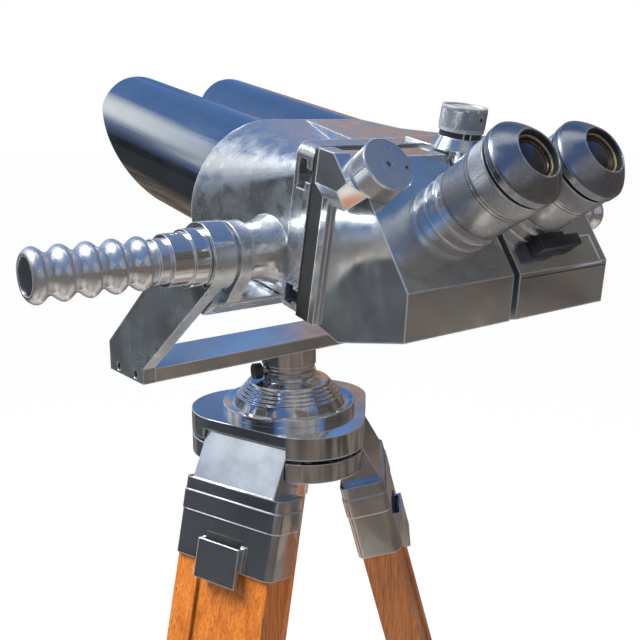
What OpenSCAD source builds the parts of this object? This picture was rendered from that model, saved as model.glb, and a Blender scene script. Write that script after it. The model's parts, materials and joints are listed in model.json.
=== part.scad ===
// Large binoculars with inclined eyepieces, carried in a cranked yoke on a three-legged stand.
// Origin: mouth of the plumb hole in the head's centre bolt, on the pan axis. +Y is where they look.

/* [Optics] */
// Half the distance between the two objective axes
obj_x = 51.5; // [51:0.5:56]
// Height of the objective axes above the trunnion axis
obj_z = 19.5; // [17:0.5:22]
// Outer radius of a sun hood
hood_r = 50; // [46:0.5:50.5]
// Wall of a sun hood
hood_wall = 3; // [2:0.5:5]
// Front tip of a hood, ahead of the trunnion axis
hood_tip_y = 305; // [285:1:320]
// Lowest point of a hood's slanted mouth, ahead of the trunnion axis
hood_heel_y = 196; // [180:1:215]
// Distance between the eyes in the rest pose
ipd = 65; // [63:0.5:68]
// Clear radius of an objective
lens_r = 40; // [36:0.5:41]

/* [Front casting] */
// Front end of the twin casting, ahead of the trunnion axis
cast_front_y = 96; // [90:1:105]
// Radius of the casting's rounded shoulders at its front end
shoulder_r = 65; // [62:1:67]
// Distance of the shoulder centres from the middle
shoulder_x = 45; // [42:0.5:47]
// Top of the casting above the trunnion axis
cast_top_z = 71; // [70.5:0.5:73]
// Underside of the casting, below the trunnion axis
cast_low = 32.5; // [31.5:0.5:33]
// Width of the raised web on top, at the flange
web_w = 118; // [90:1:140]
// Width of the raised web at its front end
web_tip_w = 20; // [12:1:30]
// Radius of the light path inside the casting
path_r = 43; // [38:1:45]
// Radius of the trunnion boss
boss_r = 20; // [17:0.5:22]
// Radius of the boss's wide root
boss_root_r = 26; // [23:0.5:28]

/* [Flange and seal] */
// Front face of the flange, behind the trunnion axis
flange_y = 22; // [20:0.5:24]
// Thickness of the flange
flange_t = 17.5; // [16:0.5:20]
// Half width of the flange
flange_x = 104.5; // [103:0.5:108]
// Top of the flange above the trunnion axis
flange_top = 82; // [80:0.5:84]
// Bottom of the flange below the trunnion axis
flange_low = 36; // [34.5:0.5:38]
// Thickness of the rubber seal
seal_t = 13.5; // [11:0.5:16]
// Height of a guide channel in the flange
channel_h = 20; // [18:0.5:21]
// Depth of a guide channel
channel_d = 12.5; // [11:0.5:14]
// Clearance all round a sliding tongue
slide_gap = 0.35; // [0.3:0.05:0.6]

/* [Rear housings] */
// Half width over both rear housings
house_x = 100; // [98:0.5:102]
// Gap between the two housings in the rest pose
house_gap = 6.4; // [6:0.2:8]
// Thickness of a housing's own flange
house_flange_t = 6; // [5:0.5:8]
// Distance of the sloped rear face from the trunnion axis
slope_k = 109; // [107:0.5:111]
// Top of a housing above the trunnion axis
house_top = 82; // [80:0.5:82]
// Rear lower edge: distance behind the trunnion axis
rear_low_y = 141.5; // [139:0.5:144]
// Rear lower edge: distance below the trunnion axis
rear_low_z = 14.5; // [12:0.5:17]
// Height of the upright rear face
rear_face_h = 31; // [28:0.5:34]
// Keel of a housing: distance behind the trunnion axis
keel_y = 83; // [80:0.5:86]
// Keel of a housing: distance below the trunnion axis
keel_z = 38.5; // [37:0.5:40]
// Wall of a housing
house_wall = 5; // [4:0.5:6]
// How far a filter box stands out of its housing
filter_box_t = 12; // [9:0.5:14]
// Radius of a filter knob
filter_knob_r = 18; // [15:0.5:19]
// Height of a filter knob
filter_knob_h = 16; // [12:0.5:20]
// Distance of a filter knob from the middle
filter_knob_x = 89; // [86:0.5:90]

/* [Eyepieces] */
// Place of the eyepiece axis along the sloped face, down from the trunnion's level line
eye_t = 38.7; // [37:0.1:41]
// Radius of the eyepiece tube
tube_r = 25.5; // [24.5:0.5:26]
// Radius of the collar on the eyepiece tube
tube_collar_r = 26.7; // [25:0.1:28]
// Height of the focusing ring above the sloped face
ring_k = 16.5; // [14:0.5:20]
// Length of the focusing ring
ring_len = 41; // [36:0.5:44]
// Largest radius of the focusing ring
ring_r = 27.5; // [26.5:0.1:28]
// Length of an eyecup
cup_len = 16.5; // [15:0.5:20]
// Largest radius of an eyecup
cup_r = 28.6; // [27.5:0.1:29.5]
// Radius of an eyecup's opening
cup_mouth_r = 16; // [14:0.5:17]
// Focusing travel each way
focus_travel = 2; // [1:0.5:2]

/* [Spacing knob] */
// Radius of the knob that sets the eye spacing
turret_r = 15.6; // [14:0.1:17]
// Height of the spacing knob's grip
turret_h = 16.5; // [12:0.5:18]
// Distance of the knob behind the trunnion axis
turret_y = 66; // [65:0.5:67]
// Teeth on its pinion
pinion_teeth = 16; // [12, 16, 20]
// Pitch radius of its pinion
pinion_r = 8; // [7.5:0.5:8.5]

/* [Trunnions and grips] */
// Radius of a trunnion shaft
trunnion_r = 14; // [12:0.5:15]
// Running clearance of a trunnion and of other shafts
run_gap = 0.05; // [0.03:0.01:0.09]
// Radius of the sleeve outside the arm
sleeve_r = 17.7; // [16.5:0.1:19]
// Outer end of the sleeve, from the middle
sleeve_x = 187; // [184:0.5:192]
// Number of beads on a grip
beads = 5; // [3:1:6]
// Distance from bead to bead
bead_pitch = 17; // [15:0.1:18]
// Largest radius of a bead
bead_r = 17.6; // [16.5:0.1:19]
// Radius between two beads
grip_core_r = 13; // [11:0.5:14]

/* [Yoke] */
// Distance of the trunnion axis behind the pan axis
trun_back = 117; // [110:1:125]
// Height of the trunnion axis above the underside of the bar
trun_up = 111; // [105:1:117]
// Pitch of the line of sight in the rest pose, degrees
pitch = 11.2; // [8:0.2:14]
// Half width over the two arms
arm_x = 160.4; // [158.5:0.5:164]
// Thickness of an arm
arm_t = 10.6; // [8:0.2:11]
// Depth of the cross bar, front to rear
bar_w = 57.5; // [52:0.5:62]
// Thickness of the cross bar
bar_t = 11.2; // [9:0.2:13]
// Radius of an arm's eye
eye_r = 23.5; // [21:0.5:25]
// Length of an arm's eye along the trunnion
eye_len = 16.4; // [14:0.2:17]
// Radius of the cradle's cheek
cheek_r = 22.6; // [21:0.2:24]
// Thickness of the cradle's cheek
cheek_t = 10.6; // [8:0.2:11]

/* [Pan bearing] */
// Radius of the rotating hub under the bar
hub_r = 24.7; // [22:0.1:26]
// Height of the hub
hub_h = 16; // [13:0.5:18]
// Radius of the pan spindle
spindle_r = 12; // [9:0.5:13]
// Height of the fixed bearing
bearing_h = 42; // [41:0.5:47]
// Radius of the bearing's foot flange
foot_flange_r = 60.5; // [57:0.5:63]
// Thickness of the foot flange
foot_flange_t = 7; // [6:0.5:9]

/* [Tripod head] */
// Distance of the head's three corners from the pan axis
head_corner_x = 40; // [39:0.5:43]
// Radius of a head corner
head_corner_r = 50; // [48:0.5:52]
// Thickness of the head's top plate
head_plate_t = 10; // [9:0.5:11]
// Height of the head above the split of its lugs
head_upper_h = 21.7; // [21.4:0.1:24]
// Height of the lug caps below the split
lug_cap_h = 16.6; // [15:0.1:19]
// Width of the split
split = 3.4; // [2:0.2:4]
// Length of the centre bolt below the lug caps
bolt_drop = 34; // [24:1:40]
// Radius of the plumb hole
plumb_r = 4; // [3:0.5:6]
// Depth of the plumb hole
plumb_depth = 16; // [10:1:20]
// Distance of the hinge pins from the pan axis
pin_x = 53; // [52:0.5:55]
// Radius of a hinge pin
pin_r = 6; // [5:0.5:7]
// Direction of the rear leg, degrees from the right
leg_turn = 78; // [66:1:84]

/* [Legs] */
// Spread of a leg from upright, degrees
spread = 15; // [12:0.5:18]
// Length of a leg from its hinge pin to the floor, retracted
leg_len = 1000; // [900:10:1150]
// Width of a leg's hinge tongue
tongue_w = 88; // [82:0.5:90]
// Side clearance of a hinge tongue
tongue_gap = 1; // [0.5:0.1:1.5]
// Width of a leg's top casting
shroud_w = 105; // [102:0.5:106]
// Depth of a leg's top casting
shroud_d = 39; // [38:0.5:42]
// Height of a leg's top casting
shroud_h = 68; // [60:1:76]
// Width of a wooden rail
rail_w = 24; // [20:0.5:26]
// Depth of a wooden rail
rail_d = 32; // [28:0.5:34]
// Length of the lower leg and foot that stand out below the rails, retracted
rail_short = 200; // [170:10:300]
// Side clearance of the sliding lower leg
leg_gap = 0.4; // [0.3:0.1:1]
// Height of the clamp collar at the rails' lower end
collar_h = 52; // [44:1:60]
// Radius of a clamp knob
clamp_knob_r = 17; // [14:0.5:19]
// Length of a foot
shoe_len = 90; // [70:1:110]
// Radius of a foot
shoe_r = 17; // [14:0.5:18]

/* [Hidden] */
$fn = 64;
eps = 0.01;
// The sloped rear faces, and the eyepieces square to them, lie at this angle
slope_tilt = 45;
c45 = cos(slope_tilt);

// Heights along the pan axis
split_z = bolt_drop + lug_cap_h + split / 2;
head_top = split_z + head_upper_h;
bearing_top = head_top + bearing_h;
hub_gap = 0.3;
bar_z = bearing_top + hub_gap + hub_h;
head_bottom = bolt_drop;
core_r = 30;
bolt_r = 15;
pin_half = 54;
trun_z = bar_z + trun_up;
floor_z = split_z - leg_len * cos(spread);

// Depths along the line of sight, in the optics' own frame with the trunnion axis as origin
flange_back = flange_y + flange_t;
seal_back = flange_back + seal_t;
house_front = seal_back + slide_gap;
house_body = house_front + house_flange_t;
// The sloped face lies where z - y = slope_sum
slope_sum = slope_k / c45;
ridge_y = slope_sum - house_top;
rear_top_y = slope_sum - (rear_face_h - rear_low_z);
// Foot of the eyepiece axis on the sloped face
eye_y = -(slope_k + eye_t) * c45;
eye_z = (slope_k - eye_t) * c45;
tube_foot_r = tube_collar_r - 1;
tube_collar_k = 8.5;
guide_r = tube_r - 4.5;
cup_bore = guide_r - 3;
cup_base = ring_k + ring_len + focus_travel + 0.5;
cup_recess = 7;
// The filter knobs sit just under the ridge
knob_t = -7.4;
knob_y = (-slope_k + knob_t) * c45;
knob_z = (slope_k + knob_t) * c45;
skin = 0.01;
casting_corner_r = 14;
flange_corner_r = 9;
seat_y = cast_front_y - 16;
cell_t = 12;
// A hood's bore narrows to this radius round the objective's cell
hood_bore = hood_r - hood_wall;
cell_r = hood_bore - 1;
web_rise = flange_top - cast_top_z;

// Guide channels and the tongues in them
channel_hi = flange_top - 10 - channel_h / 2;
channel_lo = -flange_low + 4 + channel_h / 2;
lower_channel_h = channel_h * 0.7;
neck_h = channel_h * 0.45;
neck_d = flange_t - channel_d;
tongue_in = 20;
tongue_out = flange_x - 14;

// Bracket of the spacing knob
bracket_x = 14;
bracket_low = flange_top - 6;
bracket_top = flange_top + 2.5;
bracket_end = turret_y + bracket_x;
collar_top = bracket_top + 8;
scale_h = 3.7;
pinion_h = 7;
pinion_z = bracket_low - pinion_h - 1.5;
pocket_x = bracket_x + 3.6;
pocket_y = bracket_end + 3.6;
rack_t = 4;
tooth = PI * pinion_r * 2 / pinion_teeth;

// Places along the trunnion axis
arm_in = arm_x - arm_t;
eye_in = arm_x - eye_len;
washer_out = eye_in - 0.3;
cheek_out = eye_in - 4.2;
cheek_in = cheek_out - cheek_t;
shoulder_len = 11.5;
shoulder_in = arm_x + 0.4;
neck_len = 8.5;
bead_steps = 12;
end_cut = 3;
grip_in = sleeve_x + neck_len;
grip_out = grip_in + (beads - end_cut / bead_steps) * bead_pitch + 0.8;
cast_side = shoulder_x + shoulder_r;
boss_root_x = flange_x - 4;
boss_root_len = 17;
shaft_in = flange_x + 2;

// Yoke arm's side outline, as points behind and above the bar's underside on the pan axis
arm_front = bar_w / 2;
arm_knee_z = bar_t + 12.6;

// Cradle bar under the casting
cradle_low = cast_low + 14;
cradle_front = 44;
cradle_rear = 8;
cradle_x = arm_in - 1.4;

// Legs
leg_az = [leg_turn + 120, leg_turn - 120, leg_turn];
knuckle_r = 11;
tongue_top = 6.5;
tongue_front = 11.8;
shroud_top = 36;
shroud_front = 25;
shroud_round = 7;
rail_seat = 36;
shroud_back = shroud_d - shroud_front;
rail_mid = (shroud_front - shroud_back) / 2;
band_drop = 11;
band_h = 17;
hook_drop = 47;
hook_w = 44;
hook_h = 34;
hook_out = 6.5;
lower_w = shroud_w - 2 * rail_w - 2 * leg_gap - 6;
rail_x = lower_w / 2 + leg_gap;
lower_d = rail_d - 6;
lower_top = shroud_top + shroud_h - 8;
collar_wall = 5;
collar_boss = 8;
collar_low = 6;
knob_stud_r = 4;
shoe_top = leg_len - shoe_len;
rail_end = leg_len - rail_short;

// Helpers

// Moves children from the optics' own frame into place, pitched about the trunnion axis
module tilted() {
    translate([0, -trun_back, trun_z]) rotate([pitch, 0, 0]) children();
}

// side is 1 for the right hand and -1 for the left
module handed(side) {
    if (side > 0) children();
    else mirror([1, 0, 0]) children();
}

// Extrudes a side outline of [forward, up] points between two places across
module across(x0, x1) {
    translate([x0, 0, 0]) rotate([90, 0, 90]) linear_extrude(x1 - x0) children();
}

// A round bar along X between two places
module bar_x(x0, x1, r) {
    translate([x0, 0, 0]) rotate([0, 90, 0]) cylinder(h = x1 - x0, r = r);
}

// A round bar along Y between two places
module bar_y(y0, y1, r) {
    translate([0, y0, 0]) rotate([-90, 0, 0]) cylinder(h = y1 - y0, r = r);
}

// A block between two corners
module block(a, b) {
    translate(a) cube(b - a);
}

// Frame on the sloped rear face: local Z is the face's outward normal
module on_slope(x, y, z) {
    translate([x, y, z]) rotate([slope_tilt, 0, 0]) children();
}

// Upright oblong with rounded corners, centred
module rounded_plate(w, h, r) {
    union() {
        square([w - 2 * r, h], center = true);
        square([w, h - 2 * r], center = true);
        for (x = [-1, 1], y = [-1, 1]) translate([x * (w / 2 - r), y * (h / 2 - r)]) circle(r, $fn = 48);
    }
}

// Moves the sides of a convex outline, listed counter-clockwise, inwards by d
function line_in(p, q, d) =
    let (v = q - p, n = [-v[1], v[0]] / norm(v)) [p + n * d, q + n * d];
function cross2(a, b) = a[0] * b[1] - a[1] * b[0];
function meet(a, b) =
    let (u = a[1] - a[0], v = b[1] - b[0], t = cross2(b[0] - a[0], v) / cross2(u, v)) a[0] + u * t;
function inset(pts, d) =
    let (n = len(pts))
    [for (i = [0 : n - 1])
        meet(line_in(pts[(i + n - 1) % n], pts[i], d), line_in(pts[i], pts[(i + 1) % n], d))];

// Point where a line from p touches a circle, on the side given by s
function touch(p, c, r, s) =
    let (v = c - p, d = norm(v), a = asin(r / d), l = sqrt(d * d - r * r), w = v / d)
    p + l * [w[0] * cos(s * a) - w[1] * sin(s * a), w[0] * sin(s * a) + w[1] * cos(s * a)];

// Front casting, flange and seal

// The casting's round-shouldered front end
module casting_front() {
    h = cast_top_z + cast_low;
    intersection() {
        union() {
            for (s = [-1, 1]) translate([s * shoulder_x, cast_top_z - shoulder_r]) circle(shoulder_r, $fn = 96);
            translate([-shoulder_x, -cast_low]) square([2 * shoulder_x, h]);
        }
        translate([-cast_side - 1, -cast_low]) square([2 * cast_side + 2, h]);
    }
}

// Its squarer rear end, where it meets the flange
module casting_rear() {
    translate([0, (cast_top_z - cast_low) / 2])
        rounded_plate(2 * flange_x - 3, cast_top_z + cast_low, casting_corner_r);
}

// Raised web that widens from the front to the flange and climbs to its top
module casting_web() {
    len = cast_front_y + flange_y;
    slope = atan(web_rise / len);
    intersection() {
        translate([0, 0, cast_top_z - 2]) linear_extrude(web_rise + 4)
            polygon([[-web_w / 2, -flange_y], [web_w / 2, -flange_y],
                [web_tip_w / 2, cast_front_y - 4], [-web_tip_w / 2, cast_front_y - 4]]);
        translate([0, -flange_y, flange_top]) rotate([-slope, 0, 0])
            translate([-web_w, -eps, -40]) cube([2 * web_w, len + 20, 40]);
    }
}

// Boss that carries a trunnion, its wide root cut off at the flange
module trunnion_boss() {
    difference() {
        union() {
            bar_x(boss_root_x, cheek_in, boss_r);
            translate([boss_root_x, 0, 0]) rotate([0, 90, 0])
                cylinder(h = boss_root_len, r1 = boss_root_r, r2 = boss_r);
        }
        block([boss_root_x - 1, -flange_back, -boss_root_r - 1], [cheek_in + 1, -flange_y, boss_root_r + 1]);
    }
}

module front_casting() {
    color("silver") tilted() difference() {
        union() {
            hull() {
                translate([0, cast_front_y, 0]) rotate([90, 0, 0]) linear_extrude(skin) casting_front();
                translate([0, skin - flange_y, 0]) rotate([90, 0, 0]) linear_extrude(skin) casting_rear();
            }
            casting_web();
            for (s = [0, 1]) mirror([s, 0, 0]) trunnion_boss();
        }
        for (s = [-1, 1]) translate([s * obj_x, 0, obj_z]) {
            bar_y(seat_y, cast_front_y + 1, hood_r);
            bar_y(-flange_y - 1, seat_y + eps, path_r);
        }
        for (s = [0, 1]) mirror([s, 0, 0]) bar_x(shaft_in, cheek_in + 1, trunnion_r);
    }
}

module channel_cut(zc, h, neck) {
    y_back = -flange_back;
    block([-flange_x - 1, y_back + neck_d - eps, zc - h / 2],
        [flange_x + 1, y_back + neck_d + channel_d - 4, zc + h / 2]);
    block([-flange_x - 1, y_back - 1, zc - neck / 2], [flange_x + 1, y_back + neck_d, zc + neck / 2]);
}

module front_flange() {
    color("gainsboro") tilted() difference() {
        translate([0, -flange_y, (flange_top - flange_low) / 2]) rotate([90, 0, 0]) linear_extrude(flange_t)
            rounded_plate(2 * flange_x, flange_top + flange_low, flange_corner_r);
        for (s = [-1, 1]) translate([s * obj_x, 0, obj_z]) bar_y(-flange_back - 1, -flange_y + 1, 28);
        channel_cut(channel_hi, channel_h, neck_h);
        channel_cut(channel_lo, lower_channel_h, neck_h);
        block([-bracket_x, -flange_back - 1, bracket_low], [bracket_x, -flange_y - 6, flange_top + 1]);
    }
}

module seal_strip() {
    edge = 8;
    lo = -flange_low + 1;
    hi = flange_top - 1.5;
    color([0.1, 0.1, 0.11]) tilted() difference() {
        block([-flange_x + 1, -seal_back, lo], [flange_x - 1, -flange_back, hi]);
        block([-flange_x + edge, -seal_back - 1, channel_lo + lower_channel_h / 2],
            [flange_x - edge, -flange_back + 1, channel_hi - channel_h / 2]);
        for (z = [channel_lo, channel_hi])
            block([-flange_x + edge, -seal_back - 1, z - neck_h / 2],
                [flange_x - edge, -flange_back + 1, z + neck_h / 2]);
        block([-bracket_x, -seal_back - 1, bracket_low], [bracket_x, -flange_back + 1, hi + 1]);
    }
}

// Hoods and objectives

module hood(side) {
    r = hood_r;
    top = obj_z + r + 1;
    low = obj_z - r - 1;
    knee_z = obj_z + r * 0.5;
    knee_y = hood_tip_y - 15;
    color("lightsteelblue") tilted() handed(side) difference() {
        translate([obj_x, 0, obj_z]) difference() {
            bar_y(seat_y, hood_tip_y, r);
            bar_y(seat_y - 1, hood_tip_y + 1, cell_r);
            bar_y(seat_y + cell_t, hood_tip_y + 1, hood_bore);
        }
        across(obj_x - r - 1, obj_x + r + 1)
            polygon([[hood_tip_y, top], [knee_y, knee_z], [hood_heel_y, low],
                [hood_tip_y + 2, low], [hood_tip_y + 2, top]]);
    }
}
module hood_left() { hood(-1); }
module hood_right() { hood(1); }

module objective_cell(side) {
    color("dimgray") tilted() handed(side) translate([obj_x, seat_y, obj_z]) rotate([-90, 0, 0]) difference() {
        cylinder(h = cell_t, r = cell_r);
        translate([0, 0, -1]) cylinder(h = cell_t + 2, r = lens_r);
        translate([0, 0, cell_t - 3]) cylinder(h = 4, r1 = lens_r, r2 = lens_r + 4);
    }
}
module objective_cell_left() { objective_cell(-1); }
module objective_cell_right() { objective_cell(1); }

// Lens with a bulged front face: the cap of a ball over a short disc
module objective_lens(side) {
    bulge = 4;
    ball = (lens_r * lens_r + bulge * bulge) / (2 * bulge);
    edge = 5;
    color([0.45, 0.6, 0.7]) tilted() handed(side) translate([obj_x, seat_y, obj_z]) rotate([-90, 0, 0])
        intersection() {
            cylinder(h = edge + bulge, r = lens_r);
            translate([0, 0, edge + bulge - ball]) sphere(ball, $fn = 128);
        }
}
module objective_lens_left() { objective_lens(-1); }
module objective_lens_right() { objective_lens(1); }

// Cradle, trunnions and grips

module cradle() {
    top = -cast_low;
    low = -cradle_low;
    color("silver") tilted() difference() {
        union() {
            across(-cradle_x, cradle_x)
                polygon([[-cradle_rear, top], [-cradle_rear, top - 2], [6, low], [cradle_front, low],
                    [cradle_front, top]]);
            for (s = [0, 1]) mirror([s, 0, 0]) {
                bar_x(cheek_in, cheek_out, cheek_r);
                across(cheek_in, cheek_out)
                    polygon([touch([-cradle_rear, top], [0, 0], cheek_r, 1), [-cradle_rear, top],
                        [-cradle_rear, top - 1], [cradle_front - 8, top - 1], [cradle_front - 8, top],
                        touch([cradle_front - 8, top], [0, 0], cheek_r, -1)]);
            }
        }
        for (s = [0, 1]) mirror([s, 0, 0]) bar_x(cheek_in - 1, cheek_out + 1, trunnion_r);
    }
}

module trunnion(side) {
    sleeve_in = shoulder_in + shoulder_len;
    color("lightgray") tilted() handed(side) difference() {
        union() {
            bar_x(shaft_in, grip_in - 4, trunnion_r - 3);
            bar_x(shaft_in, shoulder_in + 1, trunnion_r);
            bar_x(cheek_out, washer_out, trunnion_r + 4);
            bar_x(shoulder_in, sleeve_in, sleeve_r + 2);
            bar_x(sleeve_in, sleeve_x, sleeve_r);
        }
        translate([(sleeve_in + sleeve_x) / 2, 0, trunnion_r - 2]) cylinder(h = 20, r = 2);
    }
}
module trunnion_left() { trunnion(-1); }
module trunnion_right() { trunnion(1); }

// Outline of the beads as [radius, length] points, a smooth wave from core to bead and back
function bead_wave() = [for (i = [0 : beads * bead_steps - end_cut]) let (a = 360 * i / bead_steps)
    [(bead_r + grip_core_r) / 2 - (bead_r - grip_core_r) / 2 * cos(a), i * bead_pitch / bead_steps]];

module grip(side) {
    grip_len = grip_out - grip_in;
    neck_r = grip_core_r + 2;
    color("white") tilted() handed(side) difference() {
        translate([grip_in, 0, 0]) rotate([0, 90, 0]) rotate_extrude($fn = 96)
            polygon(concat([[0, -neck_len], [neck_r, -neck_len], [neck_r, -0.6]], bead_wave(),
                [[grip_core_r + 1, grip_len], [0, grip_len]]));
        bar_x(sleeve_x - 1, grip_in - 4, trunnion_r - 3);
        bar_x(grip_out - 3, grip_out + 1, grip_core_r - 1);
    }
}
module grip_left() { grip(-1); }
module grip_right() { grip(1); }

module grip_cap(side) {
    color([0.2, 0.2, 0.22]) tilted() handed(side) bar_x(grip_out - 3, grip_out - 1, grip_core_r - 1);
}
module grip_cap_left() { grip_cap(-1); }
module grip_cap_right() { grip_cap(1); }

// Eye-spacing knob, its scale and bracket

module turret_bracket() {
    color("gainsboro") tilted() difference() {
        union() {
            block([-bracket_x, -turret_y, bracket_low], [bracket_x, -flange_y - 6, bracket_top]);
            translate([0, -turret_y, bracket_low]) cylinder(h = bracket_top - bracket_low, r = bracket_x);
            translate([0, -turret_y, bracket_top])
                cylinder(h = collar_top - bracket_top, r1 = bracket_x + 5, r2 = turret_r - 0.6);
        }
        translate([0, -turret_y, bracket_low - 1]) cylinder(h = 30, r = 4 + run_gap);
    }
}

module turret_scale() {
    color([0.08, 0.08, 0.08]) tilted() translate([0, -turret_y, collar_top]) difference() {
        cylinder(h = scale_h, r = turret_r - 1);
        translate([0, 0, -1]) cylinder(h = scale_h + 2, r = 4 + run_gap);
    }
}

// Side outline of a toothed wheel with straight-flanked teeth
module pinion_outline(r, teeth, addendum) {
    half = 360 / teeth * 0.19;
    tip = 360 / teeth * 0.10;
    root = 360 / teeth * 0.30;
    polygon([for (i = [0 : teeth - 1], p = [[-root, r - addendum * 1.35], [-half, r], [-tip, r + addendum],
            [tip, r + addendum], [half, r], [root, r - addendum * 1.35]])
        let (a = 360 * (i + 0.5) / teeth + p[0]) p[1] * [cos(a), sin(a)]]);
}

module turret_knob() {
    grip_z = collar_top + scale_h + 0.3;
    color("whitesmoke") tilted() translate([0, -turret_y, 0]) {
        translate([0, 0, pinion_z]) linear_extrude(pinion_h) pinion_outline(pinion_r, pinion_teeth, 1);
        translate([0, 0, pinion_z + pinion_h - eps]) cylinder(h = grip_z - pinion_z - pinion_h + 1, r = 4);
        difference() {
            translate([0, 0, grip_z]) cylinder(h = turret_h, r = turret_r);
            translate([turret_r + 1, 0, grip_z + turret_h * 0.55]) rotate([0, -90, 0]) cylinder(h = 6, r = 1.6);
            translate([0, 0, grip_z + turret_h - 1]) cylinder(h = 2, r = turret_r - 3);
        }
    }
}

// Rear housings

function house_outline() = [[-rear_top_y, rear_face_h - rear_low_z], [-rear_low_y, -rear_low_z],
    [-keel_y, -keel_z], [-house_body, -flange_low + 1], [-house_body, house_top], [-ridge_y, house_top]];

// A rack of straight-flanked teeth along X, its pitch line at y = 0 and its teeth towards +Y
module rack(len, addendum) {
    n = floor(len / tooth / 2);
    w = tooth * 0.21;
    for (i = [-n : n]) translate([i * tooth, 0])
        polygon([[-w - 0.5, -addendum * 1.35], [w + 0.5, -addendum * 1.35], [w, 0], [w - 0.45, addendum],
            [-w + 0.45, addendum], [-w, 0]]);
    translate([-len / 2, -rack_t]) square([len, rack_t - addendum]);
}

module tongue(zc, h, neck) {
    g = slide_gap;
    head_y = -flange_back + neck_d;
    block([tongue_in, head_y + g, zc - h / 2 + g], [tongue_out, head_y + channel_d - 4 - g, zc + h / 2 - g]);
    block([tongue_in, -house_front - eps, zc - neck / 2 + g], [tongue_out, head_y + g + eps, zc + neck / 2 - g]);
}

module rear_housing(side) {
    x0 = house_gap / 2;
    wall = house_wall;
    color("silver") tilted() handed(side) {
        difference() {
            union() {
                across(x0, house_x) polygon(house_outline());
                block([x0, -house_body - eps, -flange_low + 1], [house_x + 4, -house_front, house_top]);
            }
            difference() {
                across(x0 + wall, house_x - wall) polygon(inset(house_outline(), wall));
                block([x0, -pocket_y - wall, pinion_z - 3 - wall], [pocket_x + wall, -house_front, house_top]);
            }
            translate([obj_x, 0, obj_z]) bar_y(-house_body - wall - 1, -house_front + 1, 26);
            on_slope(ipd / 2, eye_y, eye_z) translate([0, 0, -wall - 6]) cylinder(h = wall + 8, r = 18);
            on_slope(filter_knob_x, knob_y, knob_z)
                translate([0, 0, -wall - 6]) cylinder(h = wall + 8, r = 3.5 + run_gap);
            block([x0 - 1, -pocket_y, pinion_z - 3], [pocket_x, -house_front + 1, house_top + 1]);
        }
        tongue(channel_hi, channel_h, neck_h);
        tongue(channel_lo, lower_channel_h, neck_h);
        rack_arm(side);
    }
}
module rear_housing_left() { rear_housing(-1); }
module rear_housing_right() { rear_housing(1); }

// Toothed arm that reaches over the gap to the pinion, ahead of it on the left half and behind it on the right
module rack_arm(side) {
    reach = pinion_r + 1;
    run = pocket_x + reach + 4;
    z1 = pinion_z + pinion_h - 0.8;
    z0 = pinion_z + 0.8;
    translate([0, -turret_y, z0]) rotate([0, 0, side > 0 ? 0 : 180]) mirror([side > 0 ? 0 : 1, 0, 0])
        translate([0, -pinion_r, 0]) linear_extrude(z1 - z0) intersection() {
            rack(4 * reach + 2 * run, 1);
            translate([-reach, -20]) square([run, 40]);
        }
}

// Box for the filters: narrow at its outer face, with chamfered lower and rear edges
module filter_box(side) {
    t = filter_box_t;
    front = -house_front - 0.3;
    top = house_top + 2.6;
    ridge = top - slope_sum;
    depth = 37;
    slope_run = 22;
    toe = 20;
    bevel = 14.5;
    run = slope_run - bevel / 2;
    base = [[front, top], [ridge, top], [ridge - slope_run, top - slope_run], [ridge - slope_run + toe, top - depth],
        [front, top - depth]];
    face = [[front, top], [ridge + 1.5, top], [ridge - run, top - run],
        [ridge - run + toe - bevel * 0.8, top - depth + bevel], [front, top - depth + bevel]];
    color("gainsboro") tilted() handed(side) difference() {
        hull() {
            across(house_x, house_x + skin) polygon(base);
            across(house_x + t - skin, house_x + t) polygon(face);
        }
        block([house_x - 1, -house_body - 0.3, -flange_low], [house_x + 4.3, -house_front + 1, house_top + 0.3]);
    }
}
module filter_box_left() { filter_box(-1); }
module filter_box_right() { filter_box(1); }

module filter_knob(side) {
    h = filter_knob_h;
    r = filter_knob_r;
    lift = 0.3;
    color("lightsteelblue") tilted() handed(side) on_slope(filter_knob_x, knob_y, knob_z) {
        difference() {
            translate([0, 0, lift]) cylinder(h = h - lift, r = r);
            translate([0, 0, h - 5]) cylinder(h = 6, r = 2);
        }
        translate([0, 0, -house_wall - 2]) cylinder(h = house_wall + 2 + lift + 1, r = 3.5);
    }
}
module filter_knob_left() { filter_knob(-1); }
module filter_knob_right() { filter_knob(1); }

// Eyepieces

module on_eye(side) {
    tilted() handed(side) on_slope(ipd / 2, eye_y, eye_z) children();
}

module eyepiece_tube(side) {
    color("gainsboro") on_eye(side) difference() {
        union() {
            cylinder(h = ring_k - 0.3, r = tube_r);
            cylinder(h = tube_collar_k, r = tube_foot_r);
            translate([0, 0, tube_collar_k]) cylinder(h = 2.5, r = tube_collar_r);
            cylinder(h = ring_k + ring_len - 6, r = guide_r);
        }
        translate([0, 0, -1]) cylinder(h = ring_k + ring_len, r = cup_bore + run_gap);
    }
}
module eyepiece_tube_left() { eyepiece_tube(-1); }
module eyepiece_tube_right() { eyepiece_tube(1); }

module focus_ring(side) {
    color("gainsboro") on_eye(side) translate([0, 0, ring_k]) difference() {
        union() {
            cylinder(h = ring_len * 0.75, r1 = tube_r + 1, r2 = ring_r);
            translate([0, 0, ring_len * 0.75 - eps]) cylinder(h = ring_len * 0.25 + eps, r = ring_r);
        }
        translate([0, 0, -1]) cylinder(h = ring_len + 2, r = guide_r + run_gap);
    }
}
module focus_ring_left() { focus_ring(-1); }
module focus_ring_right() { focus_ring(1); }

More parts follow.
